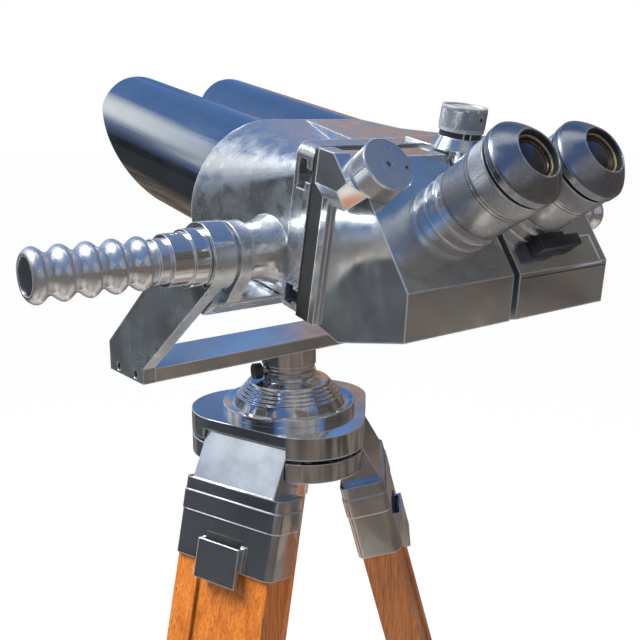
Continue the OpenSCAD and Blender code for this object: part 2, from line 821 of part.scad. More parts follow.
// Eyecup: a short band and a domed cone from it to the mouth, on a skirt that slides in the tube
module eyecup(side) {
    n = 12;
    swell = 1.25;
    band = 5;
    chamfer = 0.6;
    skirt = 16;
    mouth_r = cup_mouth_r + 0.8;
    dome = [for (i = [0 : n]) let (t = i / n)
        [mouth_r + (cup_r - mouth_r) * (1 - pow(t, swell)), band + (cup_len - band) * t]];
    color("lightsteelblue") on_eye(side) translate([0, 0, cup_base]) difference() {
        union() {
            rotate_extrude($fn = 96)
                polygon(concat([[0, 0], [cup_r - chamfer, 0], [cup_r, chamfer]], dome, [[0, cup_len]]));
            translate([0, 0, -skirt]) cylinder(h = skirt + eps, r = cup_bore);
        }
        translate([0, 0, -skirt - 1]) cylinder(h = skirt + cup_len - cup_recess + 2, r = cup_bore - 3);
        translate([0, 0, cup_len - cup_recess]) cylinder(h = cup_recess + 1, r = cup_mouth_r);
    }
}
module eyecup_left() { eyecup(-1); }
module eyecup_right() { eyecup(1); }

module eye_lens(side) {
    t = 3;
    color([0.2, 0.25, 0.3]) on_eye(side) translate([0, 0, cup_base + cup_len - cup_recess - t])
        cylinder(h = t, r = cup_bore - 3);
}
module eye_lens_left() { eye_lens(-1); }
module eye_lens_right() { eye_lens(1); }

// Yoke

module yoke_bar() {
    color("silver") translate([0, 0, bar_z])
        block([-arm_in, -bar_w / 2, 0], [arm_in, bar_w / 2, bar_t]);
}

module arm_outline() {
    eye = [-trun_back, trun_up];
    knee = [arm_front, arm_knee_z];
    heel = [-arm_front, bar_t + 1];
    polygon([[-arm_front, 0], [arm_front, 0], knee, touch(knee, eye, eye_r, -1), eye,
        touch(heel, eye, eye_r, 1), heel]);
}

module yoke_arm(side) {
    color("lightsteelblue") handed(side) translate([0, 0, bar_z]) difference() {
        union() {
            across(arm_in, arm_x) arm_outline();
            translate([0, -trun_back, trun_up]) bar_x(eye_in, arm_x, eye_r);
        }
        translate([0, -trun_back, trun_up]) bar_x(eye_in - 1, arm_x + 1, trunnion_r + run_gap);
        for (y = [-bar_w * 0.27, bar_w * 0.23]) translate([0, y, bar_t / 2]) bar_x(arm_x - 4, arm_x + 1, 3.6);
        translate([0, -trun_back - 8, trun_up - 18]) bar_x(arm_x - 5, arm_x + 1, 2.2);
    }
}
module yoke_arm_left() { yoke_arm(-1); }
module yoke_arm_right() { yoke_arm(1); }

module pan_hub() {
    color("silver") {
        translate([0, 0, bearing_top + hub_gap]) cylinder(h = hub_h, r = hub_r);
        translate([0, 0, head_top + 6]) cylinder(h = bearing_h - 6 + 1, r = spindle_r);
    }
}

// Pan bearing: grooved neck, bell and stacked rings on a dished flange
module pan_bearing() {
    h = bearing_h;
    t = foot_flange_t;
    neck = [[hub_r - 1, h], [hub_r - 1, h - 3], [hub_r - 4, h - 3.5], [hub_r - 4, h - 5.5],
        [hub_r, h - 6], [hub_r, h - 9.5], [hub_r - 1.5, h - 11]];
    bell = [for (a = [0 : 15 : 90]) [hub_r + 11.5 - 13 * cos(a), h - 11 - 4.5 * sin(a)]];
    rings = [for (i = [0 : 4]) each [[hub_r + 12.5 + 2.6 * i, h - 16.5 - 3 * i],
        [hub_r + 13.3 + 2.6 * i, h - 18.5 - 3 * i]]];
    dish = [[foot_flange_r - 9, t - 1.5], [foot_flange_r - 4, t - 1], [foot_flange_r - 2, t],
        [foot_flange_r - 0.6, t], [foot_flange_r, t - 0.8], [foot_flange_r, 0]];
    color("silver") translate([0, 0, head_top]) difference() {
        rotate_extrude($fn = 128) polygon(concat([[0, 0], [0, h]], neck, bell, rings, dish));
        translate([0, 0, 6 - 0.3]) cylinder(h = h, r = spindle_r + run_gap);
    }
}

// Tripod head

module head_outline() {
    hull() for (a = leg_az) rotate(a + 60) translate([head_corner_x, 0]) circle(head_corner_r, $fn = 96);
}

// The three slots between the lugs, each as wide as a leg's tongue and its side clearance
module tongue_slots(h) {
    w = tongue_w + 2 * tongue_gap;
    for (a = leg_az) rotate(a) translate([pin_x - knuckle_r - 2, -w / 2, 0]) cube([head_corner_x + head_corner_r, w, h]);
}

module pin_holes(r) {
    for (a = leg_az) rotate(a) translate([pin_x, 0, split_z]) rotate([90, 0, 0])
        cylinder(h = 2 * pin_half + 6, r = r, center = true);
}

module tripod_head() {
    color("silver") difference() {
        union() {
            translate([0, 0, split_z + split / 2]) linear_extrude(head_top - split_z - split / 2) head_outline();
            translate([0, 0, head_bottom]) cylinder(h = split_z - head_bottom + 4, r = core_r);
            cylinder(h = bolt_drop + 1, r = bolt_r);
        }
        translate([0, 0, split_z + split / 2 - 1]) tongue_slots(head_top - head_plate_t - split_z - split / 2 + 1);
        pin_holes(pin_r);
        translate([0, 0, -1]) cylinder(h = plumb_depth + 1, r = plumb_r);
    }
}

module lug_caps() {
    color("silver") difference() {
        translate([0, 0, head_bottom]) linear_extrude(lug_cap_h) head_outline();
        translate([0, 0, head_bottom - 1]) tongue_slots(lug_cap_h + 2);
        translate([0, 0, head_bottom - 1]) cylinder(h = lug_cap_h + 2, r = core_r + 12);
        pin_holes(pin_r);
    }
}

module hinge_pins() {
    color("dimgray") for (a = leg_az) rotate(a) translate([pin_x, 0, split_z]) rotate([90, 0, 0])
        cylinder(h = 2 * pin_half, r = pin_r, center = true);
}

// Legs. In a leg's own frame X points outwards, Z up, and the hinge pin is the origin

module on_leg(i) {
    rotate(leg_az[i - 1]) translate([pin_x, 0, split_z]) rotate([0, -spread, 0]) children();
}

// Rounded oblong outline, depth along X and width along Y
module oblong(x0, x1, w, r) {
    union() {
        translate([x0, -w / 2 + r]) square([x1 - x0, w - 2 * r]);
        translate([x0 + r, -w / 2]) square([x1 - x0 - 2 * r, w]);
        for (x = [x0 + r, x1 - r], y = [-w / 2 + r, w / 2 - r]) translate([x, y]) circle(r);
    }
}

module rail_outline(grow) {
    for (s = [0, 1]) mirror([0, s]) translate([rail_mid - rail_d / 2 - grow, rail_x - grow])
        square([rail_d + 2 * grow, rail_w + 2 * grow]);
}

module leg_top(i) {
    bottom = -shroud_top - shroud_h;
    hook_z = -shroud_top - hook_drop - hook_h;
    pocket = lower_d + 4;
    color("silver") on_leg(i) difference() {
        union() {
            rotate([90, 0, 0]) translate([0, 0, -tongue_w / 2]) linear_extrude(tongue_w) {
                circle(knuckle_r);
                polygon([[-knuckle_r, 0], [-8, tongue_top + 1], [tongue_front, tongue_top],
                    [shroud_front - 1.5, -shroud_top], [shroud_front - 1.5, -shroud_top - 1],
                    [-shroud_back + 3, -shroud_top - 1]]);
            }
            translate([0, 0, bottom]) linear_extrude(shroud_h)
                oblong(-shroud_back, shroud_front, shroud_w, shroud_round);
            translate([0, 0, -shroud_top - band_drop - band_h]) linear_extrude(band_h)
                oblong(-shroud_back - 0.8, shroud_front + 0.8, shroud_w + 1.6, shroud_round + 0.8);
            block([shroud_front - 1, -hook_w / 2, hook_z], [shroud_front + hook_out, hook_w / 2, hook_z + hook_h]);
        }
        rotate([90, 0, 0]) cylinder(h = tongue_w + 2, r = pin_r + run_gap, center = true);
        translate([0, 0, bottom - 1]) linear_extrude(rail_seat + 1) rail_outline(0);
        block([rail_mid - pocket / 2, -rail_x - 1, bottom - 1],
            [rail_mid + pocket / 2, rail_x + 1, bottom + rail_seat + 10]);
        block([shroud_front, -hook_w / 2 + 3, hook_z + 4],
            [shroud_front + hook_out - 2.5, hook_w / 2 - 3, hook_z + hook_h + 1]);
    }
}
module leg_top_1() { leg_top(1); }
module leg_top_2() { leg_top(2); }
module leg_top_3() { leg_top(3); }

module leg_rails(i) {
    top = -shroud_top - shroud_h + rail_seat;
    color([0.62, 0.33, 0.12]) on_leg(i) translate([0, 0, -rail_end])
        linear_extrude(rail_end + top) rail_outline(0);
}
module leg_rails_1() { leg_rails(1); }
module leg_rails_2() { leg_rails(2); }
module leg_rails_3() { leg_rails(3); }

module leg_collar(i) {
    d0 = rail_mid - rail_d / 2 - collar_wall;
    d1 = rail_mid + rail_d / 2 + collar_wall;
    w = 2 * (rail_x + rail_w + collar_wall);
    color("gray") on_leg(i) translate([0, 0, -rail_end - collar_low]) difference() {
        union() {
            linear_extrude(collar_h) oblong(d0, d1, w, 8);
            translate([d1 - 1, 0, collar_h / 2]) rotate([0, 90, 0]) cylinder(h = collar_boss + 1, r = 10);
        }
        translate([0, 0, collar_low]) linear_extrude(collar_h) rail_outline(0);
        translate([0, 0, -1]) linear_extrude(collar_h + 2)
            translate([rail_mid - rail_d / 2, -rail_x]) square([rail_d, 2 * rail_x]);
        translate([rail_mid, 0, collar_h / 2]) rotate([0, 90, 0]) cylinder(h = 60, r = knob_stud_r + run_gap);
    }
}
module leg_collar_1() { leg_collar(1); }
module leg_collar_2() { leg_collar(2); }
module leg_collar_3() { leg_collar(3); }

module leg_knob(i) {
    d1 = rail_mid + rail_d / 2 + collar_wall + collar_boss;
    z = -rail_end - collar_low + collar_h / 2;
    r = clamp_knob_r;
    h = 14;
    stud = collar_wall + collar_boss;
    color([0.15, 0.15, 0.15]) on_leg(i) translate([d1 + 0.3, 0, z]) rotate([0, 90, 0]) {
        difference() {
            cylinder(h = h, r = r);
            for (a = [0 : 60 : 359]) rotate(a) translate([r + 3, 0, -1]) cylinder(h = h + 2, r = 6);
        }
        translate([0, 0, -stud]) cylinder(h = stud + eps, r = knob_stud_r);
    }
}
module leg_knob_1() { leg_knob(1); }
module leg_knob_2() { leg_knob(2); }
module leg_knob_3() { leg_knob(3); }

module lower_leg(i) {
    d = lower_d;
    color([0.6, 0.31, 0.11]) on_leg(i)
        block([rail_mid - d / 2, -lower_w / 2, -shoe_top], [rail_mid + d / 2, lower_w / 2, -lower_top]);
}
module lower_leg_1() { lower_leg(1); }
module lower_leg_2() { lower_leg(2); }
module lower_leg_3() { lower_leg(3); }

// Foot: a block round the leg's end, a shank, and a pad cut flat at the floor
module shoe(i) {
    d = lower_d;
    socket = 34;
    wall = 3;
    floor_t = 6;
    // The shank and pad run on below the floor, which cuts them off flat
    over = 30;
    pad = 18;
    x0 = rail_mid - d / 2;
    x1 = rail_mid + d / 2;
    color("dimgray") intersection() {
        on_leg(i) {
            difference() {
                translate([0, 0, -shoe_top - floor_t]) linear_extrude(floor_t + socket)
                    oblong(x0 - wall, x1 + wall, lower_w + 2 * wall, 6);
                block([x0, -lower_w / 2, -shoe_top], [x1, lower_w / 2, -shoe_top + socket + 1]);
            }
            translate([rail_mid, 0, -leg_len - over]) {
                cylinder(h = over + shoe_len - floor_t + 1, r = shoe_r - 4);
                cylinder(h = over + pad, r = shoe_r);
            }
        }
        translate([-2 * leg_len, -2 * leg_len, floor_z]) cube([4 * leg_len, 4 * leg_len, leg_len]);
    }
}
module shoe_1() { shoe(1); }
module shoe_2() { shoe(2); }
module shoe_3() { shoe(3); }

front_casting();
front_flange();
seal_strip();
hood_left();
hood_right();
objective_cell_left();
objective_cell_right();
objective_lens_left();
objective_lens_right();
cradle();
trunnion_left();
trunnion_right();
grip_left();
grip_right();
grip_cap_left();
grip_cap_right();
turret_bracket();
turret_scale();
turret_knob();
rear_housing_left();
rear_housing_right();
filter_box_left();
filter_box_right();
filter_knob_left();
filter_knob_right();
eyepiece_tube_left();
eyepiece_tube_right();
focus_ring_left();
focus_ring_right();
eyecup_left();
eyecup_right();
eye_lens_left();
eye_lens_right();
yoke_bar();
yoke_arm_left();
yoke_arm_right();
pan_hub();
pan_bearing();
tripod_head();
lug_caps();
hinge_pins();
leg_top_1();
leg_top_2();
leg_top_3();
leg_rails_1();
leg_rails_2();
leg_rails_3();
leg_collar_1();
leg_collar_2();
leg_collar_3();
leg_knob_1();
leg_knob_2();
leg_knob_3();
lower_leg_1();
lower_leg_2();
lower_leg_3();
shoe_1();
shoe_2();
shoe_3();
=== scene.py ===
# %% [markdown]
# # Observation binoculars on a wooden tripod
# The metal is polished bare aluminium, so almost all that a viewer sees is reflection. Three things decide
# whether it looks real: what stands around it, how its surfaces vary, and how its edges catch light. The
# shapes could be modelled again here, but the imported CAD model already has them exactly. So it is loaded as a
# fixed frame, and everything below stays in its metres.

# %% Load the frame
import json
import math

import bmesh
import bpy
from mathutils import Matrix, Vector

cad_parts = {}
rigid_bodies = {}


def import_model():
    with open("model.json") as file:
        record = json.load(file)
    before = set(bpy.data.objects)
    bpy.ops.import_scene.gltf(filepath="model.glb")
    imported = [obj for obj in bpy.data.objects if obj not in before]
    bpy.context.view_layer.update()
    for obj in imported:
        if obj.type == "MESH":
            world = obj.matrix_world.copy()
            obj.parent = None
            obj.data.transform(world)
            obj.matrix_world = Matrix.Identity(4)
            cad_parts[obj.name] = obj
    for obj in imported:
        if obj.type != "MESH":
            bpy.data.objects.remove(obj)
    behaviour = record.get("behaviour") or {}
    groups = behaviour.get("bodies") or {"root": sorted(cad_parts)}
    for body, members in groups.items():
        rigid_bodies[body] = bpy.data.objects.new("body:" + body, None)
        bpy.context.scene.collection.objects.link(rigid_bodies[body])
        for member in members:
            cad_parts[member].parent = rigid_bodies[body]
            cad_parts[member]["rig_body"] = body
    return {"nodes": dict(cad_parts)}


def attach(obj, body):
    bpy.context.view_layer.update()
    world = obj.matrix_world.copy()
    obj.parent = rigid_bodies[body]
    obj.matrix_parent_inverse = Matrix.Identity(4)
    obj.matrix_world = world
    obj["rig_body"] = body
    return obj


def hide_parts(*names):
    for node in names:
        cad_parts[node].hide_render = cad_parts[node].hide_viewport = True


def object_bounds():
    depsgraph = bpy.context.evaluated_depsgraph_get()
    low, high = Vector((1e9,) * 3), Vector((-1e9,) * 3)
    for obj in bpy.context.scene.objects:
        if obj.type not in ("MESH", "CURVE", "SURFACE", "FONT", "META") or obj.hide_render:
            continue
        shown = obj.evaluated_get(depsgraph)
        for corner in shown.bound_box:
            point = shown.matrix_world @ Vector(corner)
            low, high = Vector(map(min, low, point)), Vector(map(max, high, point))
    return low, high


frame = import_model()
cad_box = [list(corner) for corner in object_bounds()]
scene = bpy.context.scene
scene.view_settings.view_transform = "Standard"
print("CAD box", [[round(v, 3) for v in corner] for corner in cad_box])

# %% [markdown]
# ## Camera
# The photograph was taken from the left, behind the eyepieces and a little above them. A camera could be
# nudged until the picture looks right, but here its place and focal length were solved from parallel edges and
# from round parts whose size is known, so that the render lines up with the photograph all over.

# %% Make the camera
EYE = (-0.455, -0.6197, 0.3366)
BEARING = 38.4
DIP = 13.3
FOCAL_PIXELS = 875.6
IMAGE_WIDTH = 640
SENSOR = 36.0


def toward(bearing, climb):
    bearing, climb = math.radians(bearing), math.radians(climb)
    return (math.sin(bearing) * math.cos(climb), math.cos(bearing) * math.cos(climb), math.sin(climb))


def aimed(place, way, forward="Z"):
    return Matrix.Translation(place) @ Vector(way).to_track_quat(forward, "Y").to_matrix().to_4x4()


camera_data = bpy.data.cameras.new("photo camera")
camera_data.sensor_width = SENSOR
camera_data.lens = FOCAL_PIXELS / IMAGE_WIDTH * SENSOR
camera_data.clip_start = 0.01
camera = bpy.data.objects.new("photo camera", camera_data)
scene.collection.objects.link(camera)
camera.matrix_world = aimed(EYE, toward(BEARING, -DIP), "-Z")
scene.camera = camera
print("lens", round(camera_data.lens, 2), "mm")

# %% [markdown]
# ## Helpers for shader nodes
# Building materials in code is mostly adding a node and filling its sockets. One helper does both: a value
# sets a socket, and another node's output is linked to it. The short ones after it stand for the few nodes
# that come again and again, so that a material reads like a recipe.

# %% Node helpers
def fill(tree, node, **sockets):
    for name, value in sockets.items():
        key = int(name[1:]) if name[0] == "_" else name.replace("_", " ")
        if isinstance(value, bpy.types.NodeSocket):
            tree.links.new(value, node.inputs[key])
        else:
            node.inputs[key].default_value = value


def put(tree, kind, settings=None, **sockets):
    node = tree.nodes.new("ShaderNode" + kind)
    for name, value in (settings or {}).items():
        setattr(node, name, value)
    fill(tree, node, **sockets)
    return node


def scaled(tree, value, low, high, out_low=0.0, out_high=1.0, curve="LINEAR"):
    node = put(tree, "MapRange", {"interpolation_type": curve}, Value=value, From_Min=low, From_Max=high,
        To_Min=out_low, To_Max=out_high)
    return node.outputs["Result"]


def maths(tree, operation, first, second):
    return put(tree, "Math", {"operation": operation}, _0=first, _1=second).outputs[0]


def times(tree, first, second):
    return maths(tree, "MULTIPLY", first, second)


def plus(tree, first, second):
    return maths(tree, "ADD", first, second)


def vectors(tree, operation, first, second=(0, 0, 0)):
    node = put(tree, "VectorMath", {"operation": operation}, _0=first, _1=second)
    return node.outputs["Value" if operation in ("DOT_PRODUCT", "LENGTH", "DISTANCE") else "Vector"]


print("sockets are filled by name, or by number after an underscore")

# %% Colour and noise helpers
def ramp(tree, factor, stops):
    node = put(tree, "ValToRGB", Fac=factor)
    points = node.color_ramp.elements
    while len(points) < len(stops):
        points.new(0.5)
    for point, (place, colour) in zip(points, stops):
        point.position = place
        point.color = (*colour, 1)
    return node.outputs["Color"]


def mixed(tree, factor, first, second, blend="MIX"):
    node = put(tree, "Mix", {"data_type": "RGBA", "blend_type": blend}, _0=factor, _6=first, _7=second)
    return node.outputs[2]


def noise(tree, where, scale, detail, rough=0.5, warp=0.0):
    node = put(tree, "TexNoise", Vector=where, Scale=scale, Detail=detail, Roughness=rough, Distortion=warp)
    return node.outputs["Fac"]


def patch_of(tree, way, bearing, climb, reach, fade):
    along = vectors(tree, "DOT_PRODUCT", way, toward(bearing, climb))
    return scaled(tree, along, math.cos(math.radians(reach + fade)), math.cos(math.radians(reach)))


print("a patch is a round spot of sky: bearing, climb, reach and fade in degrees")

# %% [markdown]
# ## What the metal mirrors
# The real instrument stands in the open, and its metal shows blue sky, a sunlit wall, trees and warm ground.
# A plain grey studio would turn it to plain grey, and a picture of a place isn't used, so the world is painted
# with nodes. A ramp by height gives sky and ground, and soft round patches lie where the castings catch their
# highlights. The small strong one stands for the sun behind thin haze.

# %% Sky and its bright patches
SKY_STOPS = [
    (0.0, (0.16, 0.12, 0.09)), (0.47, (0.15, 0.115, 0.085)), (0.497, (0.17, 0.14, 0.115)),
    (0.505, (0.36, 0.42, 0.52)), (0.54, (0.22, 0.35, 0.62)), (0.62, (0.11, 0.23, 0.50)),
    (0.75, (0.075, 0.165, 0.38)), (1.0, (0.06, 0.13, 0.30))]
SKY_PATCHES = [
    (-40, 21, 3, 11, (0.46, 0.46, 0.44)), (-18, 27, 4, 10, (0.85, 0.85, 0.83)),
    (0, 84, 4, 16, (1.0, 1.03, 1.1)), (-72, 40, 13, 9, (0.86, 0.92, 1.0)),
    (-53, 50, 6, 10, (18.0, 18.5, 19.2)), (-95, 4, 24, 8, (0.03, 0.034, 0.045)),
    (-165, 8, 22, 15, (0.34, 0.33, 0.33))]

world = bpy.data.worlds.new("open air")
scene.world = world
world.use_nodes = True
tree = world.node_tree
tree.nodes.clear()
way = put(tree, "TexCoord").outputs["Generated"]
height = put(tree, "SeparateXYZ", _0=way).outputs["Z"]
sky = ramp(tree, scaled(tree, height, -1, 1), SKY_STOPS)
for bearing, climb, reach, fade, colour in SKY_PATCHES:
    sky = mixed(tree, patch_of(tree, way, bearing, climb, reach, fade), sky, (*colour, 1))
print("sky patches", len(SKY_PATCHES))

# %% [markdown]
# ## Round the horizon
# Near the horizon the real reflections are dark and busy. A low dark strip lies ahead on the left, and a brown
# wall stands on the right, highest towards the back. Noise multiplies everything low down, as trees would.
# A wall's top is known by its height over its distance, so both are bounded by how steeply a ray climbs.

# %% Dark strip, wall and trees
STRIP_TONE = (0.010, 0.011, 0.014, 1)
WALL_TONES = (0.27, 0.18, 0.13, 1), (0.10, 0.088, 0.075, 1)

level = vectors(tree, "MULTIPLY", way, (1, 1, 0))
sideways = vectors(tree, "NORMALIZE", level)
steepness = maths(tree, "DIVIDE", height, vectors(tree, "LENGTH", level))
dark_strip = times(tree, patch_of(tree, sideways, -40, 0, 30, 14), scaled(tree, steepness, 0.22, 0.09))
sky = mixed(tree, dark_strip, sky, STRIP_TONE)
wall_top = scaled(tree, patch_of(tree, sideways, 120, 0, 5, 75), 0, 1, 0.36, 0.76)
below_top = scaled(tree, maths(tree, "SUBTRACT", wall_top, steepness), 0, 0.04)
wall = times(tree, patch_of(tree, sideways, 95, 0, 57, 3), below_top)
wall_tone = mixed(tree, patch_of(tree, sideways, 125, 0, 25, 35), *WALL_TONES)
above_ground = scaled(tree, height, -0.01, 0.01)
sky = mixed(tree, times(tree, wall, above_ground), sky, wall_tone)
leaves = scaled(tree, noise(tree, way, 5.0, 4.0, 0.6), 0.38, 0.62, 0.3, 1.7)
near_horizon = scaled(tree, height, 0.50, 0.22)
sky = mixed(tree, near_horizon, sky, leaves, "MULTIPLY")
print("world nodes", len(tree.nodes))

# %% [markdown]
# ## White behind the object
# The camera itself should see a plain white background. Light Path tells which rays come straight from the
# camera, and only those get white, so the metal keeps its sky and the white adds no light to the object.

# %% White for the camera
WHITE = (1, 1, 1, 1)

seen = put(tree, "LightPath").outputs["Is Camera Ray"]
sky_light = put(tree, "Background", Color=sky, Strength=1.0)
white = put(tree, "Background", Color=WHITE, Strength=1.0)
both = put(tree, "MixShader", _0=seen, _1=sky_light.outputs[0], _2=white.outputs[0])
put(tree, "OutputWorld", Surface=both.outputs[0])
print("world", world.name)

# %% [markdown]
# ## Floor
# The floor is one wide disc under the shoes. To the camera it is pale, nearly white and keeps a faint shadow.
# The undersides of the polished parts mirror it, so glossy rays see a glowing painted ground instead, which no
# lamp lights: patchy paving and shade that is pale round the legs and darker farther out, with a band of
# painted shade beyond two metres ahead on the left.

# %% Floor disc
FLOOR_Z = cad_box[0][2]
FLOOR_RADIUS = 30.0

bm = bmesh.new()
bmesh.ops.create_circle(bm, cap_ends=True, segments=96, radius=FLOOR_RADIUS,
    matrix=Matrix.Translation((0, 0, FLOOR_Z)))
floor_mesh = bpy.data.meshes.new("floor")
bm.to_mesh(floor_mesh)
bm.free()
floor = bpy.data.objects.new("floor", floor_mesh)
scene.collection.objects.link(floor)
print("floor at", round(FLOOR_Z, 4))

# %% Ground that the metal mirrors
GROUND_REACH = 5
GROUND_STOPS = [
    (0.0, (0.55, 0.52, 0.48)), (0.2, (0.50, 0.46, 0.41)), (0.29, (0.34, 0.30, 0.25)),
    (0.38, (0.17, 0.135, 0.105)), (1.0, (0.14, 0.11, 0.09))]
SHADE_TONE = (0.024, 0.028, 0.031, 1)

floor_paint = bpy.data.materials.new("floor")
floor_paint.use_nodes = True
tree = floor_paint.node_tree
tree.nodes.clear()
spot = put(tree, "NewGeometry").outputs["Position"]
distance = vectors(tree, "DISTANCE", spot, (0, 0, FLOOR_Z))
ground = ramp(tree, scaled(tree, distance, 0, GROUND_REACH), GROUND_STOPS)
paving_and_shade = scaled(tree, noise(tree, spot, 1.6, 4.0, 0.6), 0.38, 0.62, 0.35, 1.6)
ground = mixed(tree, 1.0, ground, paving_and_shade, "MULTIPLY")
outward = vectors(tree, "NORMALIZE", vectors(tree, "MULTIPLY", spot, (1, 1, 0)))
shade = times(tree, patch_of(tree, outward, -56, 0, 40, 6), scaled(tree, distance, 1.75, 2.05))
ground = mixed(tree, shade, ground, SHADE_TONE)
print("ground colours", len(GROUND_STOPS))

# %% Pale floor for the camera
FLOOR_TONE = (0.82, 0.82, 0.81, 1)
VEIL = 0.94

rays = put(tree, "LightPath").outputs
matt = put(tree, "BsdfDiffuse", Color=FLOOR_TONE)
white_glow = put(tree, "Emission", Color=WHITE, Strength=1.0)
# For glossy rays the floor glows with this painted ground and its painted shade; no lamp lights it.
ground_glow = put(tree, "Emission", Color=ground, Strength=1.0)
veil = times(tree, rays["Is Camera Ray"], VEIL)
mix = put(tree, "MixShader", _0=veil, _1=matt.outputs[0], _2=white_glow.outputs[0])
mix = put(tree, "MixShader", _0=rays["Is Glossy Ray"], _1=mix.outputs[0], _2=ground_glow.outputs[0])
put(tree, "OutputMaterial", Surface=mix.outputs[0])
floor_mesh.materials.append(floor_paint)
print("floor nodes", len(tree.nodes))

# %% [markdown]
# ## Lamps
# Two wide lamps light what isn't a mirror: the wood, the black parts and the haze on the castings. A square
# lamp would show as a hard white square in polished metal, so both are hidden from glossy rays, and the
# world's soft patches make the highlights instead.

# %% Two wide lamps
def area_lamp(name, place, aim, size, power, colour):
    data = bpy.data.lights.new(name, "AREA")
    data.size = size
    data.energy = power
    data.color = colour
    lamp = bpy.data.objects.new(name, data)
    scene.collection.objects.link(lamp)
    lamp.visible_glossy = False
    lamp.matrix_world = aimed(place, Vector(aim) - Vector(place), "-Z")


AIM = (0, 0, 0.2)

area_lamp("high left", (-1.15, 0.87, 1.9), AIM, 1.0, 60, (0.97, 0.98, 1.0))
area_lamp("above", (0.3, -0.4, 3.0), AIM, 2.0, 60, (1.0, 0.98, 0.95))
print("lamps", [lamp.name for lamp in bpy.data.lights])

# %% [markdown]
# ## Shared effects
# Each effect that more than one finish uses is a node group with named sockets, built once. There are three:
# the clouding and pits of a casting that was polished by hand, brush lines that run one way, and edges that a
# polishing wheel has rounded, with a mask along them that the metal finishes paint near-white: partly wear,
# partly a painted highlight.

# %% Group helpers
def new_group(name, inputs, outputs):
    group = bpy.data.node_groups.new(name, "ShaderNodeTree")

    def socket(title, side):
        kind = "NodeSocketVector" if title in ("Vector", "Normal") else "NodeSocketFloat"
        return group.interface.new_socket(title, in_out=side, socket_type=kind)

    for title, default in inputs.items():
        made = socket(title, "INPUT")
        if default is not None:
            made.default_value = default
    for title in outputs:
        socket(title, "OUTPUT")
    return group, group.nodes.new("NodeGroupInput").outputs, group.nodes.new("NodeGroupOutput").inputs


def use(tree, group, **sockets):
    node = tree.nodes.new("ShaderNodeGroup")
    node.node_tree = group
    fill(tree, node, **sockets)
    return node.outputs


print("groups so far", len(bpy.data.node_groups))

# %% Clouding and pits
FINER = 14.0

clouding, given, out = new_group("clouding",
    {"Vector": None, "Scale": 30.0, "Pit Scale": 420.0, "Pit Share": 0.1}, ["Cloud", "Fine", "Pits"])
t = clouding
cloud = noise(t, given["Vector"], given["Scale"], 4.0, 0.55, 0.3)
t.links.new(scaled(t, cloud, 0.28, 0.72, curve="SMOOTHSTEP"), out["Cloud"])
fine = noise(t, given["Vector"], times(t, given["Scale"], FINER), 4.0, 0.7)
t.links.new(scaled(t, fine, 0.3, 0.7), out["Fine"])
cells = put(t, "TexVoronoi", Vector=given["Vector"], Scale=given["Pit Scale"], Randomness=1.0)
chance = put(t, "SeparateColor", _0=cells.outputs["Color"]).outputs[0]
rare = maths(t, "LESS_THAN", chance, given["Pit Share"])
dot = scaled(t, cells.outputs["Distance"], 0.12, 0.28, 1.0, 0.0)
t.links.new(times(t, rare, dot), out["Pits"])
print("clouding nodes", len(t.nodes))

# %% Brush lines
STRETCH = (1.0, 0.012, 1.0)
BAND_SCALE = 0.11

brushing, given, out = new_group("brush lines", {"Vector": None, "Scale": 900.0}, ["Lines", "Bands"])
t = brushing
squeezed = vectors(t, "MULTIPLY", given["Vector"], STRETCH)
t.links.new(scaled(t, noise(t, squeezed, given["Scale"], 3.0, 0.65), 0.3, 0.7), out["Lines"])
bands = noise(t, squeezed, times(t, given["Scale"], BAND_SCALE), 2.0)
t.links.new(scaled(t, bands, 0.35, 0.65), out["Bands"])
print("brush line nodes", len(t.nodes))

# %% Rounded edges
edges, given, out = new_group("rounded edges", {"Radius": 0.0008}, ["Edge", "Normal"])
t = edges
soft = put(t, "Bevel", {"samples": 4}, Radius=given["Radius"]).outputs[0]
hard = put(t, "NewGeometry").outputs["Normal"]
t.links.new(scaled(t, vectors(t, "DOT_PRODUCT", soft, hard), 0.995, 0.9), out["Edge"])
t.links.new(soft, out["Normal"])
print("groups", [group.name for group in bpy.data.node_groups])

# %% [markdown]
# ## Metal finishes
# Bare aluminium that was polished by hand is never one clean mirror. Its tone drifts in clouds, a thin dull
# film lies over it, pits and tool lines show, and its edges are painted near-white, partly as wear and partly
# as a painted highlight. One function makes every metal finish from these, and each finish says only how much
# it has of each, so that they look like one family.

# %% Metal maker
PITCH = math.radians(11.2)
ALONG = {"X": (0, 0, math.pi / 2), "Y": (-PITCH, 0, 0), "Z": (math.pi / 2, 0, 0)}
PIT_TONE = (0.12, 0.12, 0.13, 1)
SPECK_TONE = (0.95, 0.95, 0.95, 1)
# The edge tone and the edge shares below paint the edges near-white and less metallic: partly wear, partly a
# painted highlight.
EDGE_HIGHLIGHT_TONE = (0.96, 0.96, 0.96, 1)
EDGE_HIGHLIGHT_SHARE, EDGE_HIGHLIGHT_METALLIC = 0.8, 0.45
THIN_FILM, THICK_FILM = 0.7, 1.8
CLEAR_ROUGH, CLOUDED_ROUGH = 0.7, 1.6
LINE_TONE, LINE_ROUGH, PIT_ROUGH = 0.35, 0.12, 0.3
FINE_RELIEF, RELIEF_DEPTH, RELIEF_STRENGTH = 0.35, 0.00006, 0.25


def new_paint(name):
    paint = bpy.data.materials.new(name)
    paint.use_nodes = True
    tree = paint.node_tree
    return paint, tree, tree.nodes["Principled BSDF"], put(tree, "TexCoord").outputs["Object"]


